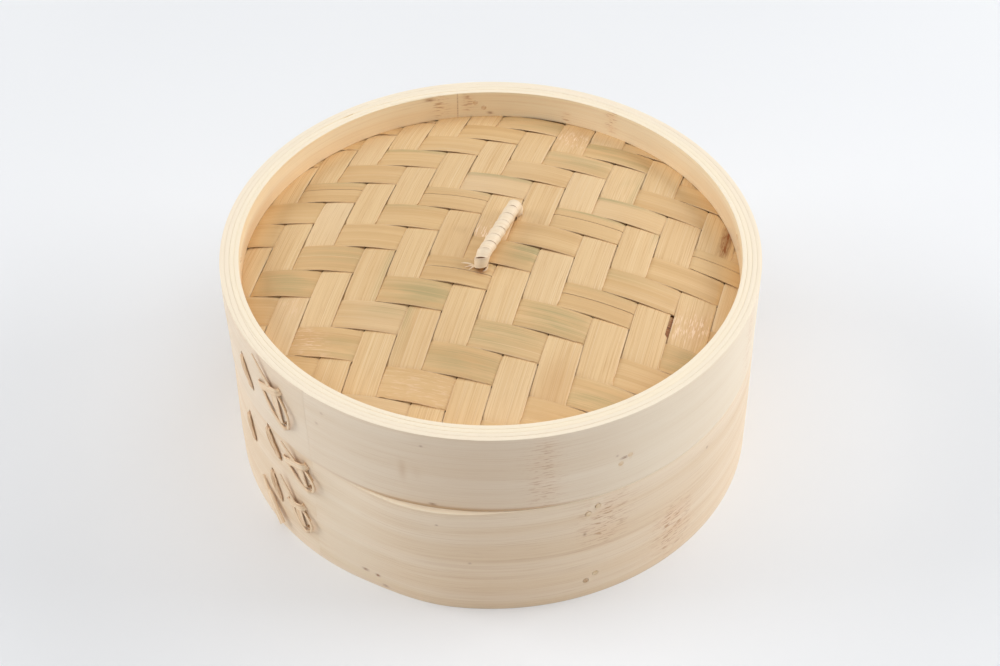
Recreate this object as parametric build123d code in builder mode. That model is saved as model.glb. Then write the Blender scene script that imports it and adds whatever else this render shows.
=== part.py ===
from build123d import *

import os
from math import cos, degrees, radians, sin, sqrt

os.makedirs("parts", exist_ok=True)

# A bamboo steamer: one basket and its domed, woven lid.
# Millimetres, +Z up, origin at the middle of the base on the table.

# Overall sizes
outer_diameter = 250.0
basket_height = 66.0
lid_height = 44.6
lid_reveal = 0.5

# Hoops: each is one bamboo strip wound two turns, thinned at both ends
strip_thickness = 2.1
turn_gap = 0.2
hoop_gap = 0.2
tip_thickness = 0.6
lap_length = 75.0
ease_length = 8.0
outer_seam = -165.0
basket_inner_seam = 60.0
base_seam = 20.0
lid_inner_seam = 98.3
seat_seam = 140.0

# Lip and socket: the basket's inner hoop stands up into the lid
lip_height = 6.0
lip_clearance = 0.4
socket_depth = 7.5

# Floor of the basket
base_hoop_height = 9.0
bearer_width = 12.0
bearer_height = 5.0
bearer_spacing = 84.0
slat_width = 16.5
slat_gap = 4.6
slat_thickness = 3.0
floor_clearance = 0.3

# Pegs through the hoops, set in pairs, and pins through the slats
peg_diameter = 2.6
peg_clearance = 0.1
peg_pair_turn = 1.05
peg_pair_rise = 1.7
basket_peg_angles = (-68.8, 51.2, 171.2)
upper_peg_drop = 8.3
lower_peg_rise = 5.0
seat_peg_angles = (-62.0, 58.0, 178.0)
seat_peg_rise = 10.0
rim_peg_angles = (93.0, 5.0, -179.0)
rim_peg_drop = 8.0
pin_diameter = 2.4
pin_clearance = 0.1

# Woven lid: two mats of splints under the lid's inner hoop, crowned in the middle
inner_hoop_height = 15.2
dome_rise = 18.8
weave_angle = -15.3
splint_thickness = 0.7
crossing_gap = 0.25
splint_gap = 1.2
warp_pitch = 16.1
warp_growth = 0.18
warp_edge = 7.2
weft_pitch = 16.4
layer_gap = 0.4
mat_clearance = 0.25
mat_edge_gap = 0.5

# Handle: a bent core that passes through both mats, wrapped along its bar
handle_x = 3.65
handle_y = -0.7
handle_angle = 67.3
leg_spacing = 41.0
bar_rise = 6.2
core_diameter = 4.4
shoulder_radius = 3.0
leg_clearance = 0.3
leg_tail = 2.6
toggle_diameter = 2.4
toggle_length = 17.0
toggle_clearance = 0.1
wrap_thickness = 0.85
wrap_width = 3.5
wrap_pitch = 4.2
wrap_half_turns = 15
wrap_clearance = 0.14

# Lacing: flat strips that sew the laps of the outer hoops
lace_width = 2.9
lace_thickness = 1.0
lace_gap = 0.12
lace_leg_width = 2.2
lace_leg_height = 1.4
lace_leg_clearance = 0.15
lace_depth = 8.0
tail_tip_width = 0.9
eye_reach = 5.6
eye_width = 1.7
eye_back = 0.2
eye_foot = Vector(1.7, 3.4)
eye_head = Vector(1.7, -3.4)
band_overhang = 4.0
band_foot = Vector(-3.8, -2.6)

# A knot is its lower hole (angle, height), the rise of its eye, and where the left corner of
# its band and the tip of its tail lie from that hole. A stitch is its upper and lower holes.
lid_knot = ((-137.0, basket_height + 13.5), 18.0, Vector(-17.0, 9.5), Vector(-18.5, 28.0))
lid_stitches = [((-152.0, basket_height + 28.0), (-148.6, basket_height + 13.5))]
upper_knot = ((-131.8, basket_height - 20.5), 13.5, Vector(-17.0, 7.5), Vector(-16.5, 18.0))
upper_stitches = [
    ((-145.3, basket_height - 3.5), (-141.2, basket_height - 17.5)),
    ((-155.0, basket_height - 13.5), (-152.5, basket_height - 27.5)),
]
lower_knot = ((-133.6, 15.5), 13.5, Vector(-12.5, 9.0), Vector(-18.5, 23.5))
lower_stitches = [
    ((-145.2, 34.5), (-142.4, 18.5)),
    ((-149.6, 20.5), (-142.6, 4.5)),
]

# Values worked out from the sizes above
wall_thickness = 2 * strip_thickness + turn_gap
basket_radius = outer_diameter / 2
basket_bore = basket_radius - wall_thickness
inner_outside = basket_bore - hoop_gap
inner_radius = inner_outside - wall_thickness
lid_radius = basket_radius - lid_reveal
lid_bore = lid_radius - wall_thickness
lid_inner_outside = lid_bore - hoop_gap
lid_inner_radius = lid_inner_outside - wall_thickness
lip_radius = lid_bore - lip_clearance
lid_top = basket_height + lid_height
floor_height = socket_depth + base_hoop_height
slat_top = floor_height + slat_thickness
slat_pitch = slat_width + slat_gap
floor_radius = basket_bore - floor_clearance
mat_radius = lid_bore - mat_edge_gap
crimp = (splint_thickness + crossing_gap) / 2
mat_half = crimp + splint_thickness / 2
dome_curve = dome_rise / lid_inner_radius**2
inner_hoop_bottom = lid_top - inner_hoop_height
mat_crown = inner_hoop_bottom - mat_clearance - mat_half + dome_rise
lining_drop = 2 * mat_half + layer_gap
lining_crown = mat_crown - lining_drop
seat_bottom = basket_height + socket_depth
seat_top = lining_crown - dome_curve * mat_radius**2 - mat_half - mat_clearance
core_radius = core_diameter / 2
bar_height = mat_crown + bar_rise
band_lift = 2 * lace_gap + lace_thickness
along = Vector(cos(radians(handle_angle)), sin(radians(handle_angle)))
across = Vector(along.Y, -along.X)
handle_middle = Vector(handle_x, handle_y)
leg_spots = [handle_middle - along * (leg_spacing / 2), handle_middle + along * (leg_spacing / 2)]
upper_pegs = basket_height - upper_peg_drop
lower_pegs = socket_depth + lower_peg_rise
seat_pegs = seat_bottom + seat_peg_rise
rim_pegs = lid_top - rim_peg_drop


def save(piece, name):
    """Label a finished piece and write it to its own file."""
    piece.part.label = name
    export_step(piece.part, f"parts/{name}.step")


def polar(radius, angle, height=0.0):
    """Point at a radius and an angle round the steamer's axis."""
    return Vector(radius * cos(radians(angle)), radius * sin(radians(angle)), height)


def radial_plane(radius, angle, height):
    """Plane that faces outwards at a spot on the wall: x runs round the wall, y up."""
    outward = polar(1, angle)
    return Plane(origin=polar(radius, angle, height), x_dir=(-outward.Y, outward.X, 0), z_dir=outward)


# Hoops


def ramp(radius_a, angle_a, radius_b, angle_b):
    """Arc that joins two points while it changes its distance from the axis."""
    middle = polar((radius_a + radius_b) / 2, (angle_a + angle_b) / 2)
    ThreePointArc(polar(radius_a, angle_a), middle, polar(radius_b, angle_b))


def wind(inside, seam, bottom, top):
    """Strip wound two turns: its thin start lies under the second turn, its thin end on the first."""
    lap = degrees(lap_length / inside)
    ease = degrees(ease_length / inside)
    step = degrees(turn_gap / inside)
    lift = tip_thickness + turn_gap
    first_outside = inside + strip_thickness
    second_inside = first_outside + turn_gap
    outside = second_inside + strip_thickness
    end = lap * (strip_thickness - lift - tip_thickness) / (strip_thickness - tip_thickness)
    with BuildSketch(Plane.XY.offset(bottom)) as strip:
        with BuildLine():
            # Inner face, from the thin start to the thin end
            CenterArc((0, 0), inside, seam, 360 - ease)
            Line(polar(inside, seam - ease), polar(inside + lift, seam - step))
            ramp(inside + lift, seam - step, second_inside, seam + lap)
            CenterArc((0, 0), second_inside, seam + lap, 360 - lap - ease)
            Line(polar(second_inside, seam - ease), polar(second_inside + lift, seam - step))
            ramp(second_inside + lift, seam - step, outside - tip_thickness, seam + end)
            Line(polar(outside - tip_thickness, seam + end), polar(outside, seam + end))
            # Outer face, back to the thin start
            CenterArc((0, 0), outside, seam + end, lap - end - 360)
            ramp(outside, seam + lap, first_outside + lift, seam - step)
            Line(polar(first_outside + lift, seam - step), polar(first_outside, seam - ease))
            CenterArc((0, 0), first_outside, seam - ease, ease + lap - 360)
            ramp(first_outside, seam + lap, inside + tip_thickness, seam)
            Line(polar(inside + tip_thickness, seam), polar(inside, seam))
        make_face()
    extrude(strip.sketch, amount=top - bottom)


def peg_pairs(angles, height):
    """Spots of pegs set two by two, one a little above and beside the other."""
    below = [(angle - peg_pair_turn, height - peg_pair_rise) for angle in angles]
    above = [(angle + peg_pair_turn, height + peg_pair_rise) for angle in angles]
    return below + above


def drill(spots, inside, outside):
    """Radial peg holes through the wall of the piece that is being made."""
    for angle, height in spots:
        with BuildSketch(radial_plane(inside, angle, height)) as hole:
            Circle(peg_diameter / 2 + peg_clearance)
        extrude(hole.sketch, amount=outside - inside, mode=Mode.SUBTRACT)


def slot(spots, inside, outside):
    """Slots for the legs of the lacing through the wall of the piece that is being made."""
    for angle, height in spots:
        with BuildSketch(radial_plane(inside, angle, height)) as opening:
            Rectangle(lace_leg_width + 2 * lace_leg_clearance, lace_leg_height + 2 * lace_leg_clearance)
        extrude(opening.sketch, amount=outside - inside, mode=Mode.SUBTRACT)


def drive_pegs(spots, inside, outside):
    """Radial pegs that fill the drilled holes from face to face."""
    for angle, height in spots:
        with BuildSketch(radial_plane(inside, angle, height)) as peg:
            Circle(peg_diameter / 2)
        extrude(peg.sketch, amount=outside - inside)


def beside(hole, shift, radius):
    """Hole that lies a given way along and up the wall from another."""
    angle, height = hole
    return (angle + degrees(shift.X / radius), height + shift.Y)


def row_holes(knot, stitches, radius):
    """Every hole that one row of lacing needs."""
    hole, rise = knot[:2]
    band_top = Vector(band_overhang, rise + band_overhang)
    holes = [hole, beside(hole, band_top, radius), beside(hole, band_foot, radius)]
    return holes + [end for stitch in stitches for end in stitch]


basket_spots = peg_pairs(basket_peg_angles, upper_pegs)
base_spots = peg_pairs(basket_peg_angles, lower_pegs)
seat_spots = peg_pairs(seat_peg_angles, seat_pegs)
rim_spots = peg_pairs(rim_peg_angles, rim_pegs)
lid_holes = row_holes(lid_knot, lid_stitches, lid_radius)
upper_holes = row_holes(upper_knot, upper_stitches, basket_radius)
lower_holes = row_holes(lower_knot, lower_stitches, basket_radius)

# Basket's outer hoop
with BuildPart() as basket_outer_hoop:
    wind(basket_bore, outer_seam, 0, basket_height)
    drill(basket_spots + base_spots, inner_radius, outer_diameter)
    slot(upper_holes + lower_holes, inner_radius, outer_diameter)
save(basket_outer_hoop, "basket_outer_hoop")

# Basket's inner hoop stands on the slats, and its top is trimmed to the lip that the lid slips over
with BuildPart() as basket_inner_hoop:
    wind(inner_radius, basket_inner_seam, slat_top, basket_height + lip_height)
    drill(basket_spots, inner_radius - wall_thickness, basket_radius)
    with BuildSketch(Plane.XY.offset(basket_height)):
        Circle(basket_radius)
        Circle(lip_radius, mode=Mode.SUBTRACT)
    extrude(amount=lip_height, mode=Mode.SUBTRACT)
save(basket_inner_hoop, "basket_inner_hoop")

# Basket's base hoop carries the floor and is notched for the bearers
bearer_rows = [-bearer_spacing / 2, bearer_spacing / 2]
with BuildPart() as basket_base_hoop:
    wind(inner_radius, base_seam, socket_depth, floor_height)
    drill(base_spots, inner_radius - wall_thickness, basket_radius)
    for row in bearer_rows:
        with BuildSketch(Plane.XY.offset(floor_height - bearer_height)) as notch:
            with Locations((0, row)):
                Rectangle(outer_diameter, bearer_width + 2 * floor_clearance)
        extrude(notch.sketch, amount=bearer_height, mode=Mode.SUBTRACT)
save(basket_base_hoop, "basket_base_hoop")

# Floor: two bearers across the basket and a row of slats pinned on them
slat_reach = int((floor_radius - slat_width / 2) / slat_pitch)
slat_places = [number * slat_pitch for number in range(-slat_reach, slat_reach + 1)]
pin_spots = [(place, row) for place in slat_places for row in bearer_rows]

for number, row in enumerate(bearer_rows, start=1):
    with BuildPart() as bearer:
        with BuildSketch(Plane.XY.offset(floor_height - bearer_height)):
            Circle(floor_radius)
            with Locations((0, row)):
                Rectangle(outer_diameter, bearer_width, mode=Mode.INTERSECT)
        extrude(amount=bearer_height)
        with Locations([(x, y, floor_height) for x, y in pin_spots if y == row]):
            Hole(pin_diameter / 2 + pin_clearance)
    save(bearer, f"floor_bearer_{number}")

for number, place in enumerate(slat_places, start=1):
    with BuildPart() as slat:
        with BuildSketch(Plane.XY.offset(floor_height)):
            Circle(floor_radius)
            with Locations((place, 0)):
                Rectangle(slat_width, outer_diameter, mode=Mode.INTERSECT)
        extrude(amount=slat_thickness)
        with Locations([(x, y, slat_top) for x, y in pin_spots if x == place]):
            Hole(pin_diameter / 2 + pin_clearance)
    save(slat, f"floor_slat_{number:02d}")

with BuildPart() as floor_pins:
    with BuildSketch(Plane.XY.offset(floor_height - bearer_height)):
        with Locations(pin_spots):
            Circle(pin_diameter / 2)
    extrude(amount=bearer_height + slat_thickness)
save(floor_pins, "floor_pins")

with BuildPart() as basket_pegs:
    drive_pegs(basket_spots + base_spots, inner_radius, basket_radius)
save(basket_pegs, "basket_pegs")

# Lid's outer hoop rests on the basket's outer hoop
with BuildPart() as lid_outer_hoop:
    wind(lid_bore, outer_seam, basket_height, lid_top)
    drill(seat_spots + rim_spots, lid_inner_radius, outer_diameter)
    slot(lid_holes, lid_inner_radius, outer_diameter)
save(lid_outer_hoop, "lid_outer_hoop")

# Seat hoop under the mats and inner hoop on top of them clamp the woven lid
with BuildPart() as lid_seat_hoop:
    wind(lid_inner_radius, seat_seam, seat_bottom, seat_top)
    drill(seat_spots, lid_inner_radius - wall_thickness, lid_radius)
save(lid_seat_hoop, "lid_seat_hoop")

with BuildPart() as lid_inner_hoop:
    wind(lid_inner_radius, lid_inner_seam, inner_hoop_bottom, lid_top)
    drill(rim_spots, lid_inner_radius - wall_thickness, lid_radius)
save(lid_inner_hoop, "lid_inner_hoop")

with BuildPart() as lid_pegs:
    drive_pegs(seat_spots + rim_spots, lid_inner_radius, lid_radius)
save(lid_pegs, "lid_pegs")


# Woven mats: a 2/2 twill of flat splints that follow the crown of the lid


def warp_bound(number):
    """Right edge of a warp's place across the mat; the places grow wider from left to right."""
    return warp_edge + warp_pitch * number + warp_growth * number**2 / 2


def weft_bound(number):
    """Far edge of a weft's place across the mat."""
    return weft_pitch * (number + 1)


def weft_is_over(warp, weft):
    """Twill rule: each weft passes over two warps, then under two, one step on from its neighbour."""
    return (warp - weft) % 4 in (1, 2)


def places(bound):
    """Numbers of the splints whose middle lies on the mat."""
    most = int(outer_diameter / warp_pitch)
    return [n for n in range(-most, most + 1) if abs(bound(n - 1) + bound(n)) / 2 < mat_radius]


warps = places(warp_bound)
wefts = places(weft_bound)
weave_turn = radians(weave_angle)
weave_u = Vector(cos(weave_turn), sin(weave_turn))
weave_v = Vector(-weave_u.Y, weave_u.X)


def crossing_path(bounds, levels):
    """Places along a splint where it starts, steps up or down in a gap, and ends, with its level."""
    path = [(-mat_radius - splint_gap, levels[0])]
    for bound, before, after in zip(bounds, levels, levels[1:]):
        if before != after:
            path.append((bound - splint_gap / 2, before))
            path.append((bound + splint_gap / 2, after))
    path.append((mat_radius + splint_gap, levels[-1]))
    return path


def trace_face(path, height):
    """One face of a splint along its path: arcs over the crown, joined by straight steps."""
    points = [Vector(x, height - dome_curve * x**2 + level * crimp) for x, level in path]
    for (x_a, level_a), (x_b, level_b), start, end in zip(path, path[1:], points, points[1:]):
        if level_a == level_b:
            x = (x_a + x_b) / 2
            ThreePointArc(start, (x, height - dome_curve * x**2 + level_a * crimp), end)
        else:
            Line(start, end)
    return points[0], points[-1]


def weave_splint(run, side, low_edge, high_edge, path, crown):
    """Splint along the run direction, between two edges across it, sloped with the crown."""
    width = high_edge - low_edge - splint_gap
    middle = (low_edge + high_edge) / 2
    slope = -2 * dome_curve * middle
    start = middle - width / 2
    height = crown - dome_curve * middle**2 - slope * width / 2
    with BuildPart() as splint:
        with BuildSketch(Plane(origin=side * start, x_dir=run, z_dir=run.cross(Vector(0, 0, 1)))):
            with BuildLine():
                top_start, top_end = trace_face(path, height + splint_thickness / 2)
                low_start, low_end = trace_face(path, height - splint_thickness / 2)
                Line(top_start, low_start)
                Line(top_end, low_end)
            make_face()
        lean = side + Vector(0, 0, slope)
        extrude(amount=width * lean.length, dir=lean.normalized())
        with BuildSketch(Plane.XY):
            Circle(mat_radius)
        extrude(amount=lid_top + outer_diameter, mode=Mode.INTERSECT)
        for spot in leg_spots:
            if low_edge - core_diameter < spot.dot(side) < high_edge + core_diameter:
                with BuildSketch(Plane.XY):
                    with Locations(spot):
                        Circle(core_radius + leg_clearance)
                extrude(amount=lid_top + outer_diameter, mode=Mode.SUBTRACT)
    return splint


def weave_warp(number, crown):
    """Warp: it is low where a weft passes over it."""
    levels = [-1 if weft_is_over(number, weft) else 1 for weft in wefts]
    path = crossing_path([weft_bound(weft) for weft in wefts], levels)
    return weave_splint(weave_v, weave_u, warp_bound(number - 1), warp_bound(number), path, crown)


def weave_weft(number, crown):
    """Weft: it is high where it passes over a warp."""
    levels = [1 if weft_is_over(warp, number) else -1 for warp in warps]
    path = crossing_path([warp_bound(warp) for warp in warps], levels)
    return weave_splint(weave_u, weave_v, weft_bound(number - 1), weft_bound(number), path, crown)


for place, warp in enumerate(warps, start=1):
    save(weave_warp(warp, mat_crown), f"warp_splint_{place:02d}")

for place, weft in enumerate(wefts, start=1):
    save(weave_weft(weft, mat_crown), f"weft_splint_{place:02d}")

with BuildPart() as lining_warps:
    add([weave_warp(warp, lining_crown).part for warp in warps])
save(lining_warps, "lining_warps")

with BuildPart() as lining_wefts:
    add([weave_weft(weft, lining_crown).part for weft in wefts])
save(lining_wefts, "lining_wefts")

# Handle core: a bar with two legs that go down through both mats to their toggles
leg_radius = max(spot.length for spot in leg_spots)
lining_under = lining_crown - dome_curve * leg_radius**2 - mat_half
toggle_height = lining_under - mat_clearance - toggle_diameter / 2
leg_foot = toggle_height - toggle_diameter / 2 - leg_tail
handle_plane = Plane(origin=handle_middle, x_dir=along, z_dir=across)
toggle_spots = [(-leg_spacing / 2, toggle_height), (leg_spacing / 2, toggle_height)]

with BuildPart() as handle_core:
    with BuildLine(handle_plane) as core_path:
        half = leg_spacing / 2
        corners = [(-half, leg_foot), (-half, bar_height), (half, bar_height), (half, leg_foot)]
        FilletPolyline(*corners, radius=shoulder_radius)
    with BuildSketch(Plane.XY.offset(leg_foot)):
        with Locations(leg_spots[0]):
            Circle(core_radius)
    sweep(path=core_path.line)
    with BuildSketch(handle_plane):
        with Locations(toggle_spots):
            Circle(toggle_diameter / 2 + toggle_clearance)
    extrude(amount=core_diameter, both=True, mode=Mode.SUBTRACT)
save(handle_core, "handle_core")

with BuildPart() as handle_toggles:
    with BuildSketch(handle_plane):
        with Locations(toggle_spots):
            Circle(toggle_diameter / 2)
    extrude(amount=toggle_length / 2, both=True)
save(handle_toggles, "handle_toggles")

# Handle wrap: one flat strip wound along the bar
wrap_radius = core_radius + wrap_clearance + wrap_thickness / 2
wrap_length = wrap_pitch * wrap_half_turns / 2
wrap_start = handle_middle - along * (wrap_length / 2) + Vector(0, 0, bar_height)
upward = Vector(0, 0, 1)


def wrap_point(turns):
    """Middle of the strip after some turns about the bar."""
    angle = radians(360 * turns)
    outward = upward * cos(angle) + across * sin(angle)
    return wrap_start + along * (wrap_pitch * turns) + outward * wrap_radius


def wrap_heading(turns):
    """Direction in which the strip runs there."""
    angle = radians(360 * turns)
    round_speed = radians(360) * wrap_radius
    return (along * wrap_pitch + (across * cos(angle) - upward * sin(angle)) * round_speed).normalized()


def biarc(start, start_heading, end, end_heading):
    """Two arcs that leave and arrive along the given headings."""
    chord = end - start
    pull = chord.dot(start_heading + end_heading)
    bend = 2 * (1 - start_heading.dot(end_heading))
    reach = (sqrt(pull**2 + bend * chord.dot(chord)) - pull) / bend
    first = start + start_heading * reach
    last = end - end_heading * reach
    joint = (first + last) / 2
    TangentArc(start, joint, tangent=start_heading)
    TangentArc(joint, end, tangent=last - first)


with BuildPart() as handle_wrap:
    with BuildLine() as wrap_path:
        for half_turn in range(wrap_half_turns):
            begin, finish = half_turn / 2, (half_turn + 1) / 2
            biarc(wrap_point(begin), wrap_heading(begin), wrap_point(finish), wrap_heading(finish))
    with BuildSketch(Plane(origin=wrap_point(0), x_dir=along, z_dir=across)):
        Rectangle(wrap_width, wrap_thickness)
    sweep(path=wrap_path.line, binormal=Edge.make_line(wrap_start, wrap_start + along * wrap_length))
save(handle_wrap, "handle_wrap")

half_turn_samples = 24
samples = half_turn_samples * wrap_half_turns
lane = [wrap_path.wire().position_at(step / samples) for step in range(samples + 1)]
far_edges = [point + along * (wrap_width / 2) for point in lane[: -2 * half_turn_samples]]
near_edges = [point - along * (wrap_width / 2) for point in lane[half_turn_samples:]]
gaps = [near - far for far in far_edges for near in near_edges]
least_gap = min(gap.length for gap in gaps if gap.dot(along) > 0)
print(f"handle wrap: {wrap_half_turns / 2} turns, least gap to itself {least_gap:.2f} mm")


# Lacing


def strap(start, end, start_width, end_width):
    """Flat strip between two points, with its own width at each."""
    aside = Vector(start.Y - end.Y, end.X - start.X).normalized()
    corners = [start + aside * (start_width / 2), start - aside * (start_width / 2)]
    corners += [end - aside * (end_width / 2), end + aside * (end_width / 2)]
    Polygon(*corners, align=None)


def lens(foot, head, left, right):
    """Pointed oval between two points, with its bulge to either side of the line between them."""
    middle = (foot + head) / 2
    aside = Vector(head.Y - foot.Y, foot.X - head.X).normalized()
    with BuildLine() as edge:
        ThreePointArc(foot, middle + aside * right, head)
        ThreePointArc(head, middle - aside * left, foot)
    return make_face(edge.line, mode=Mode.PRIVATE)


def lay(outline, radius, lift, legs):
    """Strip cut square to the wall and kept in one layer on it, with legs through the wall."""
    with BuildPart() as strip:
        extrude(outline, amount=lace_depth, both=True)
        with BuildSketch(Plane.XY) as layer:
            Circle(radius + lift + lace_thickness)
            Circle(radius + lift, mode=Mode.SUBTRACT)
        extrude(layer.sketch, amount=lid_top + outer_diameter, mode=Mode.INTERSECT)
        for angle, height in legs:
            with BuildSketch(radial_plane(radius - wall_thickness, angle, height)) as leg:
                Rectangle(lace_leg_width, lace_leg_height)
            extrude(leg.sketch, amount=wall_thickness + lift + lace_thickness / 2)
    return strip


def lace_knot(knot, radius):
    """Eye with its tail, and the band that goes over it and back to the lower hole."""
    hole, rise, corner, tip = knot
    foot, head = Vector(0, 0), Vector(0, rise)
    band_top = Vector(band_overhang, rise + band_overhang)
    with BuildSketch(radial_plane(radius, *hole)) as eye:
        add(lens(foot, head, lace_width / 2, eye_reach + lace_width / 2))
        add(lens(foot + eye_foot, head + eye_head, eye_back, eye_width), mode=Mode.SUBTRACT)
        strap(head + Vector(lace_width / 2, -lace_width), tip, lace_width, tail_tip_width)
    with BuildSketch(radial_plane(radius, *hole)) as band:
        strap(band_top, corner, lace_width, lace_width)
        strap(corner, band_foot, lace_width, lace_width)
        with Locations(corner):
            Circle(lace_width / 2)
    eye_piece = lay(eye.sketch, radius, lace_gap, [hole])
    band_holes = [beside(hole, band_top, radius), beside(hole, band_foot, radius)]
    band_piece = lay(band.sketch, radius, band_lift, band_holes)
    return [eye_piece, band_piece]


def lace_stitch(stitch, radius):
    """Slanted stitch between its two holes."""
    (top_angle, top), (low_angle, low) = stitch
    middle = ((top_angle + low_angle) / 2, (top + low) / 2)
    half = Vector(radians(top_angle - low_angle) * radius / 2, (top - low) / 2)
    with BuildSketch(radial_plane(radius, *middle)) as outline:
        add(lens(half * -1, half, lace_width / 2, lace_width / 2))
    return lay(outline.sketch, radius, lace_gap, stitch)


def lace_row(knot, stitches, radius):
    """All strips of one row of lacing."""
    pieces = lace_knot(knot, radius) + [lace_stitch(stitch, radius) for stitch in stitches]
    with BuildPart() as row:
        for piece in pieces:
            add(piece)
    return row


save(lace_row(lid_knot, lid_stitches, lid_radius), "lid_lacing")
save(lace_row(upper_knot, upper_stitches, basket_radius), "basket_upper_lacing")
save(lace_row(lower_knot, lower_stitches, basket_radius), "basket_lower_lacing")
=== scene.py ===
"""Looks of a bamboo steamer basket: wound hoops, twill lid, wrapped handle, lacing, pegs and floor."""

import random
from collections import namedtuple
from math import cos, degrees, pi, radians, sin, sqrt

import bmesh
import bpy
import numpy as np
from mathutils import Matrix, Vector, noise


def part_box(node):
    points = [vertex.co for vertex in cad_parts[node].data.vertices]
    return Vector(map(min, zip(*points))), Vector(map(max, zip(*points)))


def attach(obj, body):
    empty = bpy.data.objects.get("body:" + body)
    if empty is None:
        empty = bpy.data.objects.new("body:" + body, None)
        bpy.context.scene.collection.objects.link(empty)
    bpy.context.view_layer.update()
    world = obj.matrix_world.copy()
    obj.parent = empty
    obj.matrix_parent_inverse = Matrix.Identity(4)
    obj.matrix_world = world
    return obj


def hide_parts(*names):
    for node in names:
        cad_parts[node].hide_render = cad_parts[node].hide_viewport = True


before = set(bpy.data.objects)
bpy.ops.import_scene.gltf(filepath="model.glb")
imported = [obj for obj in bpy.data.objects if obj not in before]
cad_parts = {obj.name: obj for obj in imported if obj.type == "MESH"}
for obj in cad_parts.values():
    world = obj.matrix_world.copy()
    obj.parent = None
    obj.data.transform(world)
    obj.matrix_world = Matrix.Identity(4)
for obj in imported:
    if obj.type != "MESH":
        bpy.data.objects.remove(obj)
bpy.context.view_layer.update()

bl_info = {
    "name": "Bamboo Steamer",
    "version": (1, 0, 0),
    "blender": (4, 5, 0),
    "location": "View3D > Sidebar > Steamer",
    "description": "Builds the looks of a bamboo steamer basket around its packed frame",
    "category": "Object",
}

MM = 0.001
# Marks that the meshes carry. The stain mark holds real stains and also painted shade in gaps, holes and
# crevices and under strips; the tone mark holds the random tone of a strip and also painted light and painted
# shade on the hoops' walls.
MARKS = ("edge", "node", "olive", "stain", "tone")
UP = Vector((0.0, 0.0, 1.0))
# Angles above which two faces meet in a sharp edge, on a piece and after holes are cut into it
SHARP_ANGLE = radians(38.0)
CUT_ANGLE = radians(30.0)
# Sides of a round peg
ROD_SIDES = 16


# Settings


def length(name, description, millimetres):
    """A length that is shown in the sidebar, given in millimetres."""
    return bpy.props.FloatProperty(
        name=name, description=description, default=millimetres * MM, unit="LENGTH", precision=5
    )


def turn(name, description, angle):
    """An angle that is shown in the sidebar, given in degrees."""
    size = radians(angle)
    return bpy.props.FloatProperty(name=name, description=description, default=size, unit="ROTATION")


def plain(name, description, value):
    """A plain number that is shown in the sidebar."""
    return bpy.props.FloatProperty(name=name, description=description, default=value)


def tint(name, description, red, green, blue):
    """A colour as it looks on screen, in steps of 255."""
    seen = (red / 255, green / 255, blue / 255)
    return bpy.props.FloatVectorProperty(
        name=name, description=description, default=seen, subtype="COLOR_GAMMA", min=0.0, max=1.0
    )


class SteamerHoops(bpy.types.PropertyGroup):
    """Sizes of the wound hoops."""

    strip: length("Strip", "Thickness of the bamboo strip", 2.19)
    turn_gap: length("Turn gap", "Gap between the two turns of a hoop", 0.02)
    tip: length("Tip", "Thickness of the strip at its thinned ends", 0.03)
    lap: length("Lap", "Length over which an end is thinned", 75.0)
    ease: length("Ease", "Length over which a turn climbs over an end", 8.0)
    rounding: length("Rounding", "Radius of the worn edges", 0.13)
    rim_spread: length("Rim spread", "How far the lid's inner hoop springs out against the outer one", 0.17)
    burr: length("Burr", "Roughness of the sawn edges", 0.05)
    unevenness: length("Unevenness", "How far the edge of a turn rises and falls", 0.28)
    lip_trim: length("Lip trim", "Radius that the basket's lip is trimmed to", 119.7)
    bulge: length("Bulge", "How far the basket's rim stands out past the lid at one place", 2.4)
    tuck: length("Tuck", "How far the basket's rim stands in under the lid elsewhere", 0.4)
    bulge_turn: turn("Bulge angle", "Where the basket's rim stands out", -102.0)
    outer_seam: turn("Outer seam", "Where the outer hoops start", -165.0)
    basket_inner_seam: turn("Basket inner seam", "Where the basket's inner hoop starts", 60.0)
    base_seam: turn("Base seam", "Where the base hoop starts", 20.0)
    lid_inner_seam: turn("Lid inner seam", "Where the lid's inner hoop starts", 98.3)
    seat_seam: turn("Seat seam", "Where the lid's seat hoop starts", 140.0)


class SteamerMat(bpy.types.PropertyGroup):
    """Sizes of the woven lid."""

    radius: length("Radius", "Reach of the mats under the hoop", 119.6)
    rise: length("Rise", "How far the middle of the lid is crowned", 18.8)
    rise_radius: length("Rise radius", "Radius at which the crown starts", 115.5)
    crown: length("Crown", "Height of the middle of the upper mat", 113.125)
    lining_drop: length("Lining drop", "How far the lining lies below the upper mat", 2.05)
    weave: turn("Weave", "Turn of the weave about the lid", -15.3)
    warp_pitch: length("Warp pitch", "Spacing of the warps in the middle", 16.1)
    warp_growth: length("Warp growth", "How much wider each warp is than the one before", 0.18)
    warp_edge: length("Warp edge", "Right edge of the middle warp", 7.2)
    weft_pitch: length("Weft pitch", "Spacing of the wefts", 16.4)
    splint: length("Splint", "Thickness of a splint", 0.7)
    crimp: length("Crimp", "Half the step between an upper and a lower splint", 0.475)
    gap: length("Gap", "Gap between neighbouring splints", 0.42)
    step: length("Step", "Length over which a splint goes up or down", 3.6)


class SteamerHandle(bpy.types.PropertyGroup):
    """Sizes of the handle."""

    middle: bpy.props.FloatVectorProperty(
        name="Middle", description="Middle of the bar", default=(0.00365, -0.0007, 0.119325), unit="LENGTH"
    )
    direction: turn("Direction", "Direction of the bar", 67.3)
    spacing: length("Spacing", "Distance between the legs", 41.0)
    core: length("Core", "Diameter of the bent core", 4.4)
    shoulder: length("Shoulder", "Radius of the bends", 4.2)
    wrap_width: length("Wrap width", "Width of the wrapping strip", 5.3)
    wrap_thickness: length("Wrap thickness", "Thickness of the wrapping strip", 0.55)
    wrap_pitch: length("Wrap pitch", "Advance of the strip in one turn", 5.3)


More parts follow.
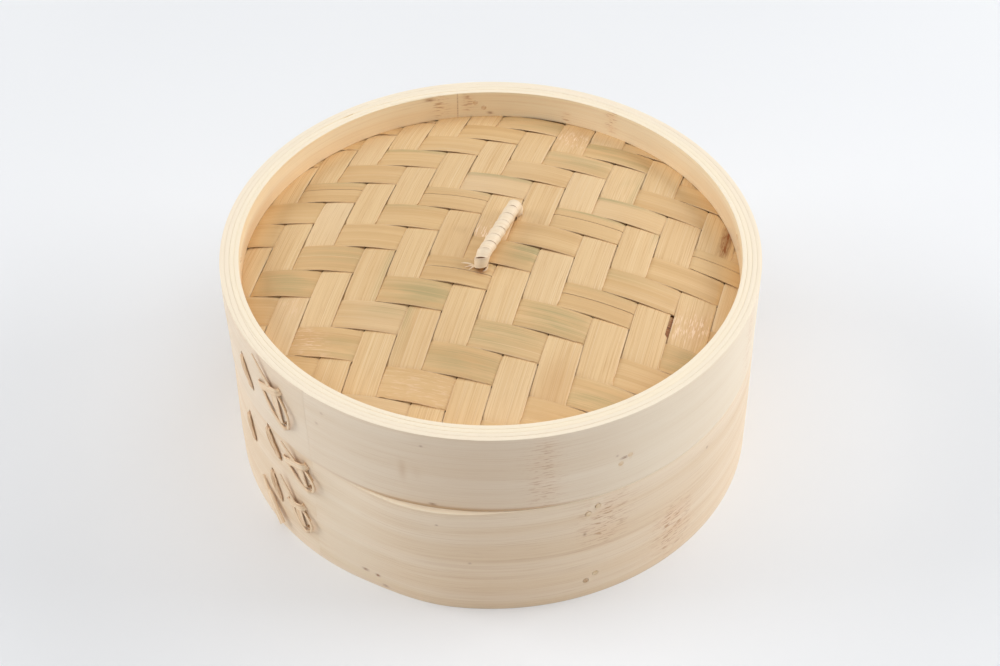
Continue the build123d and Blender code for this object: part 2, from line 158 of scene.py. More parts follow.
class SteamerLacing(bpy.types.PropertyGroup):
    """Sizes of the lacing."""

    width: length("Width", "Width of the lacing strip", 3.1)
    thickness: length("Thickness", "Thickness of the lacing strip", 0.55)
    depth: length("Depth", "How far an end goes into the wall", 3.2)


class SteamerFloor(bpy.types.PropertyGroup):
    """Sizes of the basket's floor and pegs."""

    radius: length("Radius", "Reach of the slats and bearers", 120.3)
    rounding: length("Rounding", "Radius of the slats' edges", 0.5)
    pin: length("Pin", "Diameter of the pins in the slats", 2.4)
    peg: length("Peg", "Diameter of the pegs in the hoops", 2.6)
    peg_hole: length("Peg hole", "Diameter of the drilled holes", 3.05)
    peg_dome: length("Peg dome", "How far a peg stands out of the wall", 0.04)


class SteamerColours(bpy.types.PropertyGroup):
    """Colours of the finishes."""

    wall: tint("Wall", "Outer hoop of the basket", 245, 224, 197)
    wall_shade: tint("Wall shade", "Darker bands of the basket's wall", 239, 214, 182)
    lid_wall: tint("Lid wall", "Outer hoop of the lid", 244, 226, 202)
    lid_wall_shade: tint("Lid wall shade", "Darker bands of the lid's wall", 239, 218, 191)
    inner: tint("Inner wall", "Inner hoops", 254, 239, 208)
    inner_shade: tint("Inner shade", "Darker bands of the inner hoops", 249, 226, 187)
    cut: tint("Cut edge", "Cut edges of the hoops", 249, 236, 213)
    warp: tint("Warp", "Warps of the lid", 230, 197, 148)
    warp_shade: tint("Warp shade", "Darker bands of the warps", 224, 189, 139)
    weft: tint("Weft", "Wefts of the lid", 222, 186, 134)
    weft_shade: tint("Weft shade", "Darker bands of the wefts", 211, 172, 119)
    olive: tint("Olive", "Green skin left on the splints", 176, 158, 110)
    node: tint("Node", "Bands where the stalk had its nodes", 228, 172, 128)
    # Brown of the real stains, also used for painted shade
    stain: tint("Stain", "Brown stains", 148, 88, 42)
    nick: tint("Nick", "Nicks in the nodes of a wall", 186, 130, 76)
    pale_nick: tint("Pale nick", "Nicks in the nodes of a splint", 250, 222, 192)
    fibre: tint("Fibre", "Dark fibres in the bamboo", 190, 138, 80)
    slat: tint("Slat", "Slats and bearers of the floor", 236, 207, 162)
    slat_shade: tint("Slat shade", "Darker bands of the floor", 224, 190, 142)
    peg: tint("Peg", "Pegs and pins", 243, 221, 190)
    wrap: tint("Wrap", "Wrapping of the handle", 247, 228, 199)
    wrap_shade: tint("Wrap shade", "Darker bands of the wrapping", 239, 214, 180)
    core: tint("Core", "Bent core of the handle", 172, 126, 82)
    lace: tint("Lacing", "Lacing strips", 250, 226, 194)
    lace_shade: tint("Lacing shade", "Darker bands of the lacing", 234, 198, 156)


class SteamerStage(bpy.types.PropertyGroup):
    """Floor, light and camera."""

    floor: tint("Floor", "Plain pale floor", 242, 244, 247)
    floor_size: length("Floor size", "Width of the floor", 7000.0)
    sky: plain("Sky", "Strength of the even light from all round", 0.21)
    overhead: plain("Overhead lamp", "Power of the large lamp above", 11.8)
    front: plain("Front lamp", "Power of the lamp high in front", 5.6)
    right: plain("Right lamp", "Power of the lamp on the right", 19.3)
    left: plain("Left lamp", "Power of the lamp on the left", 18.4)
    behind: plain("Rear lamp", "Power of the lamp behind on the right", 6.5)
    camera: bpy.props.FloatVectorProperty(
        name="Camera", description="Place of the camera", default=(0.00425, -0.7044, 0.7252), unit="LENGTH"
    )
    elevation: turn("Elevation", "How far the camera looks down", 43.628)
    lens: plain("Lens", "Focal length in millimetres on a 36 mm sensor", 73.0)


# Finishes


def linear(colour):
    """Colour as light for the shader, from the colour as it looks on screen."""
    return tuple(c / 12.92 if c <= 0.04045 else ((c + 0.055) / 1.055) ** 2.4 for c in colour) + (1.0,)


class Nodes:
    """A node tree. Each method adds a node and gives its output."""

    def __init__(self, tree):
        self.nodes = tree.nodes
        self.links = tree.links
        self.nodes.clear()

    def add(self, kind, inputs, **settings):
        """Add a node, set its options, and set or link its inputs."""
        made = self.nodes.new(kind)
        for name, value in settings.items():
            setattr(made, name, value)
        for key, value in inputs.items():
            if isinstance(value, bpy.types.NodeSocket):
                self.links.new(value, made.inputs[key])
            else:
                made.inputs[key].default_value = value
        return made

    def math(self, operation, a, b):
        """Two numbers put together."""
        return self.add("ShaderNodeMath", {0: a, 1: b}, operation=operation).outputs[0]


class Finish(Nodes):
    """One node material."""

    def __init__(self, name):
        self.material = bpy.data.materials.new(name)
        self.material.use_nodes = True
        super().__init__(self.material.node_tree)

    def grain(self, along, across):
        """Place on the strip, in features per metre along its fibres and across them."""
        place = self.add("ShaderNodeUVMap", {}, uv_map="grain").outputs[0]
        scaled = self.add("ShaderNodeVectorMath", {0: place, 1: (along, across, 1.0)}, operation="MULTIPLY")
        return scaled.outputs[0]

    def cloud(self, place, detail=2.0, roughness=0.5):
        """Soft noise."""
        inputs = {"Vector": place, "Scale": 1.0, "Detail": detail, "Roughness": roughness}
        return self.add("ShaderNodeTexNoise", inputs, noise_dimensions="2D").outputs[0]

    def mask(self, value, low, high, top=1.0):
        """Nought below low, top above high."""
        inputs = {"Value": value, "From Min": low, "From Max": high, "To Min": 0.0, "To Max": top}
        return self.add("ShaderNodeMapRange", inputs, interpolation_type="SMOOTHSTEP").outputs[0]

    def mark(self, name):
        """A mark that the mesh carries."""
        return self.add("ShaderNodeAttribute", {}, attribute_name=name).outputs["Fac"]

    def times(self, a, b):
        """Product of two numbers."""
        return self.math("MULTIPLY", a, b)

    def plus(self, a, b):
        """Sum of two numbers."""
        return self.math("ADD", a, b)

    def mixed(self, share, a, b):
        """Two colours mixed."""
        return self.add("ShaderNodeMix", {0: share, 6: a, 7: b}, data_type="RGBA").outputs[2]

    def done(self, colour, roughness, height, bump, distance, specular):
        """Close the material with its shader."""
        bumps = self.add("ShaderNodeBump", {"Strength": bump, "Distance": distance, "Height": height})
        inputs = {"Base Color": colour, "Roughness": roughness, "Specular IOR Level": specular}
        shader = self.add("ShaderNodeBsdfPrincipled", {**inputs, "Normal": bumps.outputs[0]})
        self.add("ShaderNodeOutputMaterial", {"Surface": shader.outputs[0]})
        return self.material


# Light and dark colour, share of dark fibres, bands per metre across, roughness, and colour of the nicks
FINISHES = {
    "wall_bamboo": ("wall", "wall_shade", 0.21, 120.0, 0.46, "nick"),
    "lid_bamboo": ("lid_wall", "lid_wall_shade", 0.13, 90.0, 0.46, "nick"),
    "inner_bamboo": ("inner", "inner_shade", 0.14, 90.0, 0.52, "nick"),
    "peg_bamboo": ("peg", "slat_shade", 0.2, 300.0, 0.55, "nick"),
    "slat_bamboo": ("slat", "slat_shade", 0.25, 90.0, 0.5, "nick"),
    "warp_bamboo": ("warp", "warp_shade", 0.4, 200.0, 0.48, "pale_nick"),
    "weft_bamboo": ("weft", "weft_shade", 0.24, 150.0, 0.46, "pale_nick"),
    "core_bamboo": ("core", "fibre", 0.3, 200.0, 0.55, "nick"),
    "wrap_bamboo": ("wrap", "wrap_shade", 0.16, 260.0, 0.5, "nick"),
    "lacing_cane": ("lace", "lace_shade", 0.4, 350.0, 0.55, "nick"),
}


def bamboo(name):
    """Split bamboo: fibres along the strip, slow bands of tone, and the marks that the mesh carries."""
    found = bpy.data.materials.get(name)
    if found:
        return found
    colours = bpy.context.scene.steamer_colours
    light, shade, fibre_share, band_across, roughness, nick = FINISHES[name]
    light, shade, nick = (linear(getattr(colours, colour)) for colour in (light, shade, nick))
    fibre, cut, brown = linear(colours.fibre), linear(colours.cut), linear(colours.stain)
    made = Finish(name)
    bands = made.cloud(made.grain(3.5, band_across), detail=3.0)
    fibres = made.cloud(made.grain(8.0, 2200.0), roughness=0.65)
    threads = made.cloud(made.grain(25.0, 4400.0), detail=1.0)
    dashes = made.cloud(made.grain(150.0, 1300.0), roughness=0.6)
    streaks = made.cloud(made.grain(42.0, 1150.0), roughness=0.6)
    patches = made.cloud(made.grain(28.0, 140.0), detail=3.0)

    colour = made.mixed(made.mask(bands, 0.3, 0.74), light, shade)
    colour = made.mixed(made.mask(fibres, 0.52, 0.8, fibre_share), colour, fibre)
    colour = made.mixed(made.mask(threads, 0.56, 0.8, fibre_share), colour, fibre)
    colour = made.mixed(made.mask(fibres, 0.44, 0.2, fibre_share * 0.5), colour, cut)
    colour = made.mixed(made.mask(streaks, 0.58, 0.76, 0.6 * fibre_share), colour, fibre)
    colour = made.mixed(made.mask(dashes, 0.7, 0.8, 0.35 * fibre_share), colour, brown)

    # The tone mark lightens or darkens: the random tone of a strip, and on the hoops' walls painted light and
    # painted shade
    tone = made.mark("tone")
    colour = made.mixed(made.mask(tone, 0.0, 1.0, 0.55), colour, cut)
    colour = made.mixed(made.mask(tone, 0.0, -1.0, 0.5), colour, fibre)

    olive = made.times(made.mark("olive"), made.mask(patches, 0.3, 0.62))
    streaked = made.times(olive, made.plus(made.mask(fibres, 0.3, 0.7, 0.7), 0.4))
    colour = made.mixed(streaked, colour, linear(colours.olive))

    node = made.mark("node")
    blush = made.times(node, made.plus(made.mask(patches, 0.3, 0.7, 0.2), 0.05))
    colour = made.mixed(blush, colour, linear(colours.node))
    nicks = made.times(node, made.mask(dashes, 0.54, 0.66, 0.8))
    colour = made.mixed(nicks, colour, nick)

    # The stain mark: real stains, and painted shade in gaps, holes and crevices
    stain = made.times(made.mark("stain"), made.plus(made.mask(dashes, 0.42, 0.62, 0.5), 0.5))
    colour = made.mixed(stain, colour, brown)
    edge = made.times(made.mark("edge"), 0.85)
    pale = made.mixed(made.mask(fibres, 0.45, 0.75, 0.2), cut, light)
    colour = made.mixed(edge, colour, pale)

    dullness = made.plus(made.mask(fibres, 0.3, 0.7, 0.16), roughness - 0.04)
    height = made.plus(made.plus(fibres, made.times(threads, 0.5)), made.times(nicks, 0.2))
    return made.done(colour, dullness, height, bump=0.3, distance=0.2 * MM, specular=0.48)


# Meshes


def smooth_steps(values, middle, width):
    """Smooth rise from nought to one about a middle."""
    t = np.clip((values - middle) / width + 0.5, 0.0, 1.0)
    return t * t * (3.0 - 2.0 * t)


def hump(values, middle, half):
    """Soft hump of height one."""
    return np.exp(-(((values - middle) / half) ** 2))


def drift(values, seed, frequency):
    """Slow seeded wander between about minus one and one."""
    return np.array([noise.noise(Vector((v * frequency, seed * 3.17, 0.5))) for v in values])


def strip_data(rings, along, across, marks, start):
    """Points, faces, grain and marks of one strip, from closed rings of points along it."""
    count, size = rings.shape[:2]
    faces, grain = [], []
    for i in range(count - 1):
        near, far = start + i * size, start + (i + 1) * size
        for j in range(size):
            k = (j + 1) % size
            faces.append((near + j, far + j, far + k, near + k))
            low, high = across[j], across[j + 1]
            grain += [(along[i], low), (along[i + 1], low), (along[i + 1], high), (along[i], high)]
    last = start + (count - 1) * size
    faces.append(tuple(start + j for j in range(size)))
    faces.append(tuple(last + j for j in reversed(range(size))))
    grain += [(along[0], across[j]) for j in range(size)]
    grain += [(along[-1], across[j]) for j in reversed(range(size))]
    filled = {name: np.broadcast_to(marks.get(name, 0.0), (count, size)).ravel() for name in MARKS}
    return rings.reshape(-1, 3), faces, grain, filled


def make_piece(name, strips, material):
    """One object from one or more strips."""
    points, faces, grain = [], [], []
    marks = {mark: [] for mark in MARKS}
    for rings, along, across, strip_marks in strips:
        start = sum(len(p) for p in points)
        new_points, new_faces, new_grain, new_marks = strip_data(rings, along, across, strip_marks, start)
        points.append(new_points)
        faces += new_faces
        grain += new_grain
        for mark in MARKS:
            marks[mark].append(new_marks[mark])
    mesh = bpy.data.meshes.new(name)
    mesh.from_pydata(np.concatenate(points).tolist(), [], faces)
    layer = mesh.uv_layers.new(name="grain")
    layer.data.foreach_set("uv", np.array(grain, np.float32).ravel())
    for mark in MARKS:
        attribute = mesh.attributes.new(mark, "FLOAT", "POINT")
        attribute.data.foreach_set("value", np.concatenate(marks[mark]).astype(np.float32))
    built = bmesh.new()
    built.from_mesh(mesh)
    bmesh.ops.recalc_face_normals(built, faces=built.faces)
    built.to_mesh(mesh)
    built.free()
    mesh.polygons.foreach_set("use_smooth", [True] * len(mesh.polygons))
    mesh.set_sharp_from_angle(angle=SHARP_ANGLE)
    mesh.materials.append(material)
    return show(bpy.data.objects.new(name, mesh))


def show(thing):
    """Put an object into the scene."""
    bpy.context.scene.collection.objects.link(thing)
    return thing


def settle(piece, body, slot, *nodes):
    """Fix a finished piece to its body and hide the solids that it stands for. The slot is not used."""
    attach(piece, body)
    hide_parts(*nodes)


def line_lengths(points):
    """Running length along a line of points."""
    return np.concatenate([[0.0], np.cumsum(np.linalg.norm(np.diff(points, axis=0), axis=1))])


def ring_lengths(section):
    """Running length round a closed section."""
    return line_lengths(np.vstack([section, section[:1]]))


def rod(start, end, radius, dome, shift=0.0, stain=0.0):
    """Round peg between two points, with domed ends."""
    axis = (end - start).normalized()
    aside = axis.orthogonal().normalized()
    upright = axis.cross(aside)
    turns = np.linspace(0.0, 2.0 * pi, ROD_SIDES, endpoint=False)
    circle = np.array([aside * cos(t) + upright * sin(t) for t in turns])
    stations = [(-dome, 0.25), (-0.75 * dome, 0.7), (0.0, 1.0)]
    far = (end - start).length
    stations += [(far, 1.0), (far + 0.75 * dome, 0.7), (far + dome, 0.25)]
    rings = np.array([np.array(start + axis * s) + circle * radius * share for s, share in stations])
    across = np.linspace(0.0, 2.0 * pi * radius, ROD_SIDES + 1) + shift
    return rings, [s for s, share in stations], across, {"tone": -0.1, "stain": stain}


def cut_away(piece, cutter):
    """Cut one mesh out of another."""
    change = piece.modifiers.new("holes", "BOOLEAN")
    change.operation = "DIFFERENCE"
    change.solver = "MANIFOLD"
    change.object = cutter
    bpy.context.view_layer.update()
    cut = bpy.data.meshes.new_from_object(piece.evaluated_get(bpy.context.evaluated_depsgraph_get()))
    cut.set_sharp_from_angle(angle=CUT_ANGLE)
    piece.modifiers.clear()
    old = piece.data
    piece.data = cut
    bpy.data.meshes.remove(old)
    bpy.data.objects.remove(cutter)


def polar(radius, angle, height):
    """Point at a radius and an angle round the steamer's axis."""
    return Vector((radius * cos(angle), radius * sin(angle), height))


# Hoops


class Hoop:
    """Where a hoop lies, its material and the marks on it."""

    def __init__(self, node, seam, material, marks=(), spread=0.0):
        low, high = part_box(node)
        self.node = node
        self.seam = seam
        self.bottom = low.z
        self.top = high.z
        self.outside = high.x + spread
        self.material = material
        self.marks = marks


# Steps along a wound strip and up its wall; a mark whose half size is under SMALL_MARK millimetres adds more
WOUND_STEPS = 470
WALL_STEPS = 13
SMALL_MARK = 4.0
# Outer hoops that the lacing draws in: depth, and the heights where that is full and gone, in millimetres
DIPS = {"basket_outer_hoop": (2.4, 200.0, 201.0), "lid_outer_hoop": (1.1, 64.0, 104.0)}
# Where they are drawn in, clockwise in degrees: start, its ramp and its lean by height, then end and ramp
DIP_START, DIP_START_RAMP, DIP_LEAN = 108.0, 20.0, 160.0
DIP_END, DIP_END_RAMP = 176.0, 14.0
# Half size of the bulge of the basket's rim: radians round it and metres down from its top
BULGE_ROUND, BULGE_DOWN = 0.24, 0.022


def turn_between(azimuth, place):
    """Angle from a place to an azimuth, the short way round."""
    return (azimuth - place + pi) % (2 * pi) - pi


def wound_faces(sizes, inside, fine_angles):
    """Radius of the inner and outer face along a strip wound two turns, by its angle from the start."""
    lap, ease = sizes.lap / inside, sizes.ease / inside
    step = sizes.turn_gap / inside
    lift = sizes.tip + sizes.turn_gap
    first_outside = inside + sizes.strip
    second_inside = first_outside + sizes.turn_gap
    outside = second_inside + sizes.strip
    once, twice = 2 * pi, 4 * pi
    end = twice + lap * (sizes.strip - lift - sizes.tip) / (sizes.strip - sizes.tip)
    inner_turns = [0, once - ease, once - step, once + lap, twice - ease, twice - step, end]
    inner = [inside, inside, inside + lift, second_inside, second_inside]
    inner += [second_inside + lift, outside - sizes.tip]
    outer_turns = [0, lap, once - ease, once - step, once + lap, end]
    outer = [inside + sizes.tip, first_outside, first_outside, first_outside + lift, outside, outside]
    even = np.linspace(0, end, WOUND_STEPS)
    eased = [np.linspace(t - 1.2 * ease, t + 0.4 * ease, 9) for t in (once, twice)]
    angles = np.unique(np.concatenate([even, *eased, *fine_angles, inner_turns, outer_turns]).clip(0, end))
    return angles, np.interp(angles, inner_turns, inner), np.interp(angles, outer_turns, outer)


def finer_steps(hoop):
    """Extra angles from the seam and extra heights where a small mark needs them."""
    angles, heights = [], []
    for kind, place, height, half_length, half_height, strength in hoop.marks:
        if half_length < SMALL_MARK:
            start = (radians(place) - hoop.seam) % (2 * pi)
            steps = np.linspace(-2.0, 2.0, 9) * half_length * MM / hoop.outside
            angles += [before + start + steps for before in (0.0, 2 * pi)]
        if half_height < SMALL_MARK:
            heights += [(height + share * half_height) * MM for share in (-1.3, -0.7, 0.0, 0.7, 1.3)]
    return angles, heights


def hoop_section(r_in, r_out, bottom, top, edge, heights):
    """Outline of a strip with worn edges, as (radius, height, share of the cut edge)."""
    soft = 0.3 * edge
    outline = [(r_in, h, 0.0) for h in heights]
    outline += [(r_in + soft, top - soft, 0.5), (r_in + edge, top, 1.0), ((r_in + r_out) / 2, top, 1.0)]
    outline += [(r_out - edge, top, 1.0), (r_out - soft, top - soft, 0.5)]
    outline += [(r_out, h, 0.0) for h in heights[::-1]]
    outline += [(r_out - soft, bottom + soft, 0.5), (r_out - edge, bottom, 1.0)]
    return outline + [(r_in + edge, bottom, 1.0), (r_in + soft, bottom + soft, 0.5)]


def hoop_strip(hoop, sizes, trim=None, bulged=False):
    """Rings of a wound hoop with worn edges, slightly uneven as hand work is.

    A trim is a height and the radius that the wall is trimmed to above it.
    """
    wall = 2 * sizes.strip + sizes.turn_gap
    inside = hoop.outside - wall
    fine_angles, fine_heights = finer_steps(hoop)
    angles, inner, outer = wound_faces(sizes, inside, fine_angles)
    seed = hoop.seam * 5.0
    sag = sizes.unevenness * (0.5 + 0.5 * drift(angles, seed, 1.1)).clip(0, 1)
    sag += sizes.burr * drift(angles, seed + 5.0, 31.0).clip(0, 1)
    levels = np.linspace(0.0, 1.0, WALL_STEPS)
    rings, marks = [], {name: [] for name in MARKS}
    for angle, r_in, r_out, drop in zip(angles, inner, outer, sag):
        edge = min(sizes.rounding, 0.3 * (r_out - r_in))
        top = hoop.top - drop
        heights = hoop.bottom + edge + levels * (top - hoop.bottom - 2 * edge)
        if trim:
            heights = np.append(heights, [trim[0] - 0.02 * MM, trim[0] + 0.02 * MM])
        heights = np.sort(np.append(heights, fine_heights)).clip(hoop.bottom + edge, top - edge)
        section = hoop_section(r_in, r_out, hoop.bottom, top, edge, heights)
        azimuth = hoop.seam + angle
        ring = []
        for radius, height, cut in section:
            if trim and height > trim[0]:
                radius = min(radius, trim[1])
            radius -= dip_at(hoop.node, azimuth, height) * (radius - inside) / wall
            if bulged:
                radius += bulge_at(sizes, azimuth, height, hoop.top)
            ring.append(polar(radius, azimuth, height))
        rings.append(ring)
        marks["edge"].append([cut for radius, height, cut in section])
        heights_round = np.array([height for radius, height, cut in section])
        for name in MARKS[1:]:
            marks[name].append(wall_marks(hoop.marks, name, azimuth, heights_round, hoop.outside))
    last = np.array([(radius, height) for radius, height, cut in section])
    marks = {name: np.array(rows) for name, rows in marks.items()}
    return np.array(rings), angles * hoop.outside, ring_lengths(last) + seed, marks


def dip_at(node, azimuth, height):
    """How far the lacing draws an outer hoop in on its left side."""
    if node not in DIPS:
        return 0.0
    depth, full, none = DIPS[node]
    left = degrees(-azimuth) % 360.0
    side = smooth_steps(left, DIP_START + DIP_LEAN * height, DIP_START_RAMP)
    side = side * (1.0 - smooth_steps(left, DIP_END, DIP_END_RAMP))
    return depth * MM * side * smooth_steps(height, (full + none) / 2 * MM, (full - none) * MM)


def bulge_at(sizes, azimuth, height, top):
    """How far the basket's rim stands out past the lid, most at its top edge; elsewhere it is tucked in."""
    away = turn_between(azimuth, sizes.bulge_turn)
    out = (sizes.bulge + sizes.tuck) * hump(away, 0.0, BULGE_ROUND) - sizes.tuck
    return out * hump(height, top, BULGE_DOWN)


def wall_marks(marks, name, azimuth, heights, radius):
    """Strength of one kind of mark at some heights of the wall."""
    total = np.zeros_like(heights)
    for kind, place, height, half_length, half_height, strength in marks:
        if kind == name:
            near = hump(turn_between(azimuth, radians(place)) * radius, 0.0, half_length * MM)
            total += strength * near * np.exp(-(((heights - height * MM) / (half_height * MM)) ** 4))
    return total


# Marks on the hoops: (mark, degrees round, millimetres up, half length, half height, strength)
BASKET_MARKS = (
    ("node", -66.0, 49.0, 10.5, 15.5, 0.85),
    ("node", -48.3, 20.5, 10.5, 16.0, 1.0),
    ("node", 20.0, 44.0, 8.0, 20.0, 0.8),
    ("node", 95.0, 22.0, 9.0, 18.0, 0.8),
    ("node", 150.0, 50.0, 8.0, 14.0, 0.8),
    ("tone", -80.0, 22.0, 60.0, 0.9, -0.22),
    ("tone", -95.0, 33.0, 90.0, 1.2, -0.15),
    ("tone", -64.0, 33.0, 40.0, 1.0, -0.3),
    ("tone", -70.0, 9.0, 120.0, 3.0, -0.15),
    ("tone", -112.0, 29.0, 60.0, 1.2, -0.3),
    ("stain", -117.7, 8.3, 1.5, 0.9, 1.0),
    ("stain", -114.7, 7.7, 1.0, 0.9, 1.0),
    ("stain", -112.9, 2.2, 1.6, 0.8, 0.6),
    ("stain", -100.6, 57.4, 0.6, 0.5, 0.6),
    ("stain", -94.2, 31.7, 0.7, 0.6, 0.6),
    ("stain", -70.5, 43.2, 0.7, 0.9, 0.8),
    ("stain", -38.4, 56.3, 0.7, 0.7, 0.7),
    # Painted shade on the front of the basket's wall and painted light on its front left
    ("tone", -90.0, 30.0, 40.0, 40.0, -0.25),
    ("tone", -122.0, 30.0, 30.0, 40.0, 0.6),
)
LID_MARKS = (
    ("node", -79.3, 88.0, 7.0, 23.0, 0.6),
    ("node", -20.0, 90.0, 6.0, 18.0, 0.5),
    ("node", 60.0, 86.0, 8.0, 20.0, 0.7),
    ("node", 165.0, 88.0, 8.0, 18.0, 0.7),
    ("tone", -107.5, 86.5, 1.8, 6.0, -0.35),
    ("tone", -104.6, 86.0, 2.4, 4.0, -0.14),
    ("stain", -62.3, 85.0, 1.9, 0.7, 1.0),
    ("stain", -64.0, 87.6, 0.6, 0.6, 0.6),
    ("stain", -103.5, 103.5, 0.7, 0.6, 0.5),
    ("stain", -101.4, 68.0, 1.6, 0.8, 0.8),
    ("stain", -125.4, 103.0, 0.8, 0.7, 0.4),
    ("stain", -127.0, 94.7, 0.9, 0.8, 0.35),
    # Painted shadow: a dark line along the lid's lower edge
    ("tone", -96.0, 66.6, 70.0, 1.0, -0.8),
    # Painted light on the right and front right of the lid's wall, and painted shade on its front
    ("tone", -22.0, 88.0, 55.0, 40.0, 0.9),
    ("tone", -56.0, 88.0, 30.0, 40.0, 0.5),
    ("tone", -93.0, 88.0, 45.0, 40.0, -0.35),
)
RIM_MARKS = (
    ("stain", 105.6, 109.0, 2.4, 1.2, 0.8),
    ("node", 95.7, 104.5, 3.5, 5.0, 1.0),
    ("stain", 90.4, 97.8, 1.4, 1.0, 0.7),
    ("node", 71.2, 99.0, 2.5, 4.0, 0.9),
    ("node", 58.8, 105.0, 3.0, 7.0, 1.0),
    ("node", 103.0, 104.0, 4.0, 7.0, 0.8),
    ("node", -60.0, 104.0, 5.0, 7.0, 0.8),
    # Painted shade on the left inner face of the rim
    ("tone", 176.0, 100.0, 70.0, 5.0, -0.6),
    ("tone", 12.0, 101.0, 60.0, 7.0, -0.3),
    ("stain", 98.5, 103.0, 0.3, 9.0, 0.6),
)


class STEAMER_OT_hoops(bpy.types.Operator):
    """Wind the six hoops, with their peg holes, lacing slots and notches"""

    bl_idname = "steamer.hoops"
    bl_label = "Hoops"

    def execute(self, context):
        sizes = context.scene.steamer_hoops
        wall, lid_wall, inner = bamboo("wall_bamboo"), bamboo("lid_bamboo"), bamboo("inner_bamboo")
        seam = sizes.outer_seam
        trim = (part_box("lid_outer_hoop")[0].z, sizes.lip_trim)
        hoops = {
            "basket_wall": (Hoop("basket_outer_hoop", seam, wall, BASKET_MARKS), {"bulged": True}),
            "basket_lip": (Hoop("basket_inner_hoop", sizes.basket_inner_seam, inner), {"trim": trim}),
            "basket_base": (Hoop("basket_base_hoop", sizes.base_seam, inner), {}),
            "lid_wall": (Hoop("lid_outer_hoop", seam, lid_wall, LID_MARKS), {}),
            "lid_seat": (Hoop("lid_seat_hoop", sizes.seat_seam, inner), {}),
            "lid_rim": (Hoop("lid_inner_hoop", sizes.lid_inner_seam, inner, RIM_MARKS, sizes.rim_spread), {}),
        }
        for name, (hoop, form) in hoops.items():
            piece = make_piece(name, [hoop_strip(hoop, sizes, **form)], hoop.material)
            cutters = hole_cutters(hoop.node, context.scene.steamer_floor)
            cut_away(piece, make_piece(name + "_holes", cutters, hoop.material))
            body = "lid" if name.startswith("lid") else "basket"
            slot = "inner_hoop" if hoop.material == inner else "outer_hoop"
            settle(piece, body, slot, hoop.node)
        return {"FINISHED"}


# Pegs and lacing holes


# Rows of peg pairs: angles in degrees and height in millimetres
PEG_ROWS = {
    "basket": ((-68.8, 51.2, 171.2), 57.7),
    "base": ((-68.8, 51.2, 171.2), 12.5),
    "seat": ((-62.0, 58.0, 178.0), 83.5),
    "rim": ((93.0, 5.0, -179.0), 102.6),
}
# Half the spacing of the two pegs of a pair: degrees round and millimetres up
PEG_PAIR = (1.05, 1.7)
# Rows of pegs that go through each hoop
PEGGED = {
    "basket_outer_hoop": ("basket", "base"),
    "basket_inner_hoop": ("basket",),
    "basket_base_hoop": ("base",),
    "lid_outer_hoop": ("seat", "rim"),
    "lid_seat_hoop": ("seat",),
    "lid_inner_hoop": ("rim",),
}
# The first peg of a pair below this height is stained
STAINED_BELOW, PEG_STAIN = 20 * MM, 0.55
# Radii between which holes are cut, and the middle and half depth of a lacing slot, in metres
DRILL_START, DRILL_END = 0.1, 0.14
SLOT_RADIUS, SLOT_DEPTH = 0.124, 0.006
# Small split in the lid's rim: degrees round, radius and height, and its width, height and depth in metres
RIM_SPLIT = (126.4, 0.1194, 0.1106, 0.0055, 0.0024, 0.0002)


def peg_spots(rows):
    """Angle and height of every peg in some rows; pegs come in pairs."""
    spots = []
    for row in rows:
        angles, height = PEG_ROWS[row]
        for angle in angles:
            for sign in (-1, 1):
                spots.append((radians(angle + sign * PEG_PAIR[0]), (height + sign * PEG_PAIR[1]) * MM))
    return spots


def block(middle, outward, width, height, depth):
    """Rings of a plain block that points outwards."""
    aside = UP.cross(outward)
    corners = [(-1, -1), (1, -1), (1, 1), (-1, 1)]
    face = [aside * (x * width / 2) + UP * (y * height / 2) for x, y in corners]
    rings = np.array([[middle + outward * d + corner for corner in face] for d in (-depth, depth)])
    return rings, [0.0, 2 * depth], np.arange(5) * width, {}


def slot_cutter(row, first, last, width):
    """Rings of a round-ended slot in a wall, between two places beside a knot."""
    middle = [(a + b) / 2 for a, b in zip(first, last)]
    angle, height = row.spot(*middle)
    outward, aside = polar(1.0, angle, 0.0), polar(1.0, angle + pi / 2, 0.0)
    run = np.array(last) - np.array(first)
    reach = np.linalg.norm(run) / 2
    run = run / (2 * reach)
    across = np.array([-run[1], run[0]])
    outline = []
    for side in (1.0, -1.0):
        for t in np.linspace(pi / 2, -pi / 2, 6):
            outline.append(side * (run * (reach + width / 2 * cos(t)) + across * width / 2 * sin(t)))
    face = [aside * (x * MM) + UP * (y * MM) for x, y in outline]
    spot = polar(SLOT_RADIUS, angle, height)
    ends = (spot - outward * SLOT_DEPTH, spot + outward * SLOT_DEPTH)
    rings = np.array([[end + point for point in face] for end in ends])
    return rings, [0.0, 2 * SLOT_DEPTH], np.arange(len(face) + 1) * 0.5 * MM, {}


def hole_cutters(node, sizes):
    """All that is cut out of one hoop: peg holes, lacing slots, the rim's split and notches for the bearers."""
    cutters = []
    for angle, height in peg_spots(PEGGED[node]):
        hole = sizes.peg_hole if node.startswith("basket") else sizes.peg + 0.1 * MM
        start, end = polar(DRILL_START, angle, height), polar(DRILL_END, angle, height)
        cutters.append(rod(start, end, hole / 2, 0.1 * MM))
    for row in LACING:
        if row.hoop == node:
            cutters += [slot_cutter(row, *slot) for slot in row.slots()]
    if node == "lid_inner_hoop":
        place, radius, height, *size = RIM_SPLIT
        angle = radians(place)
        cutters.append(block(polar(radius, angle, height), polar(1.0, angle, 0.0), *size))
    if node == "basket_base_hoop":
        for bearer in BEARERS:
            low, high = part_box(bearer)
            width, tall = high.y - low.y + 0.6 * MM, high.z - low.z + 0.02 * MM
            cutters.append(block((low + high) / 2, Vector((1, 0, 0)), width, tall, DRILL_END))
    return cutters


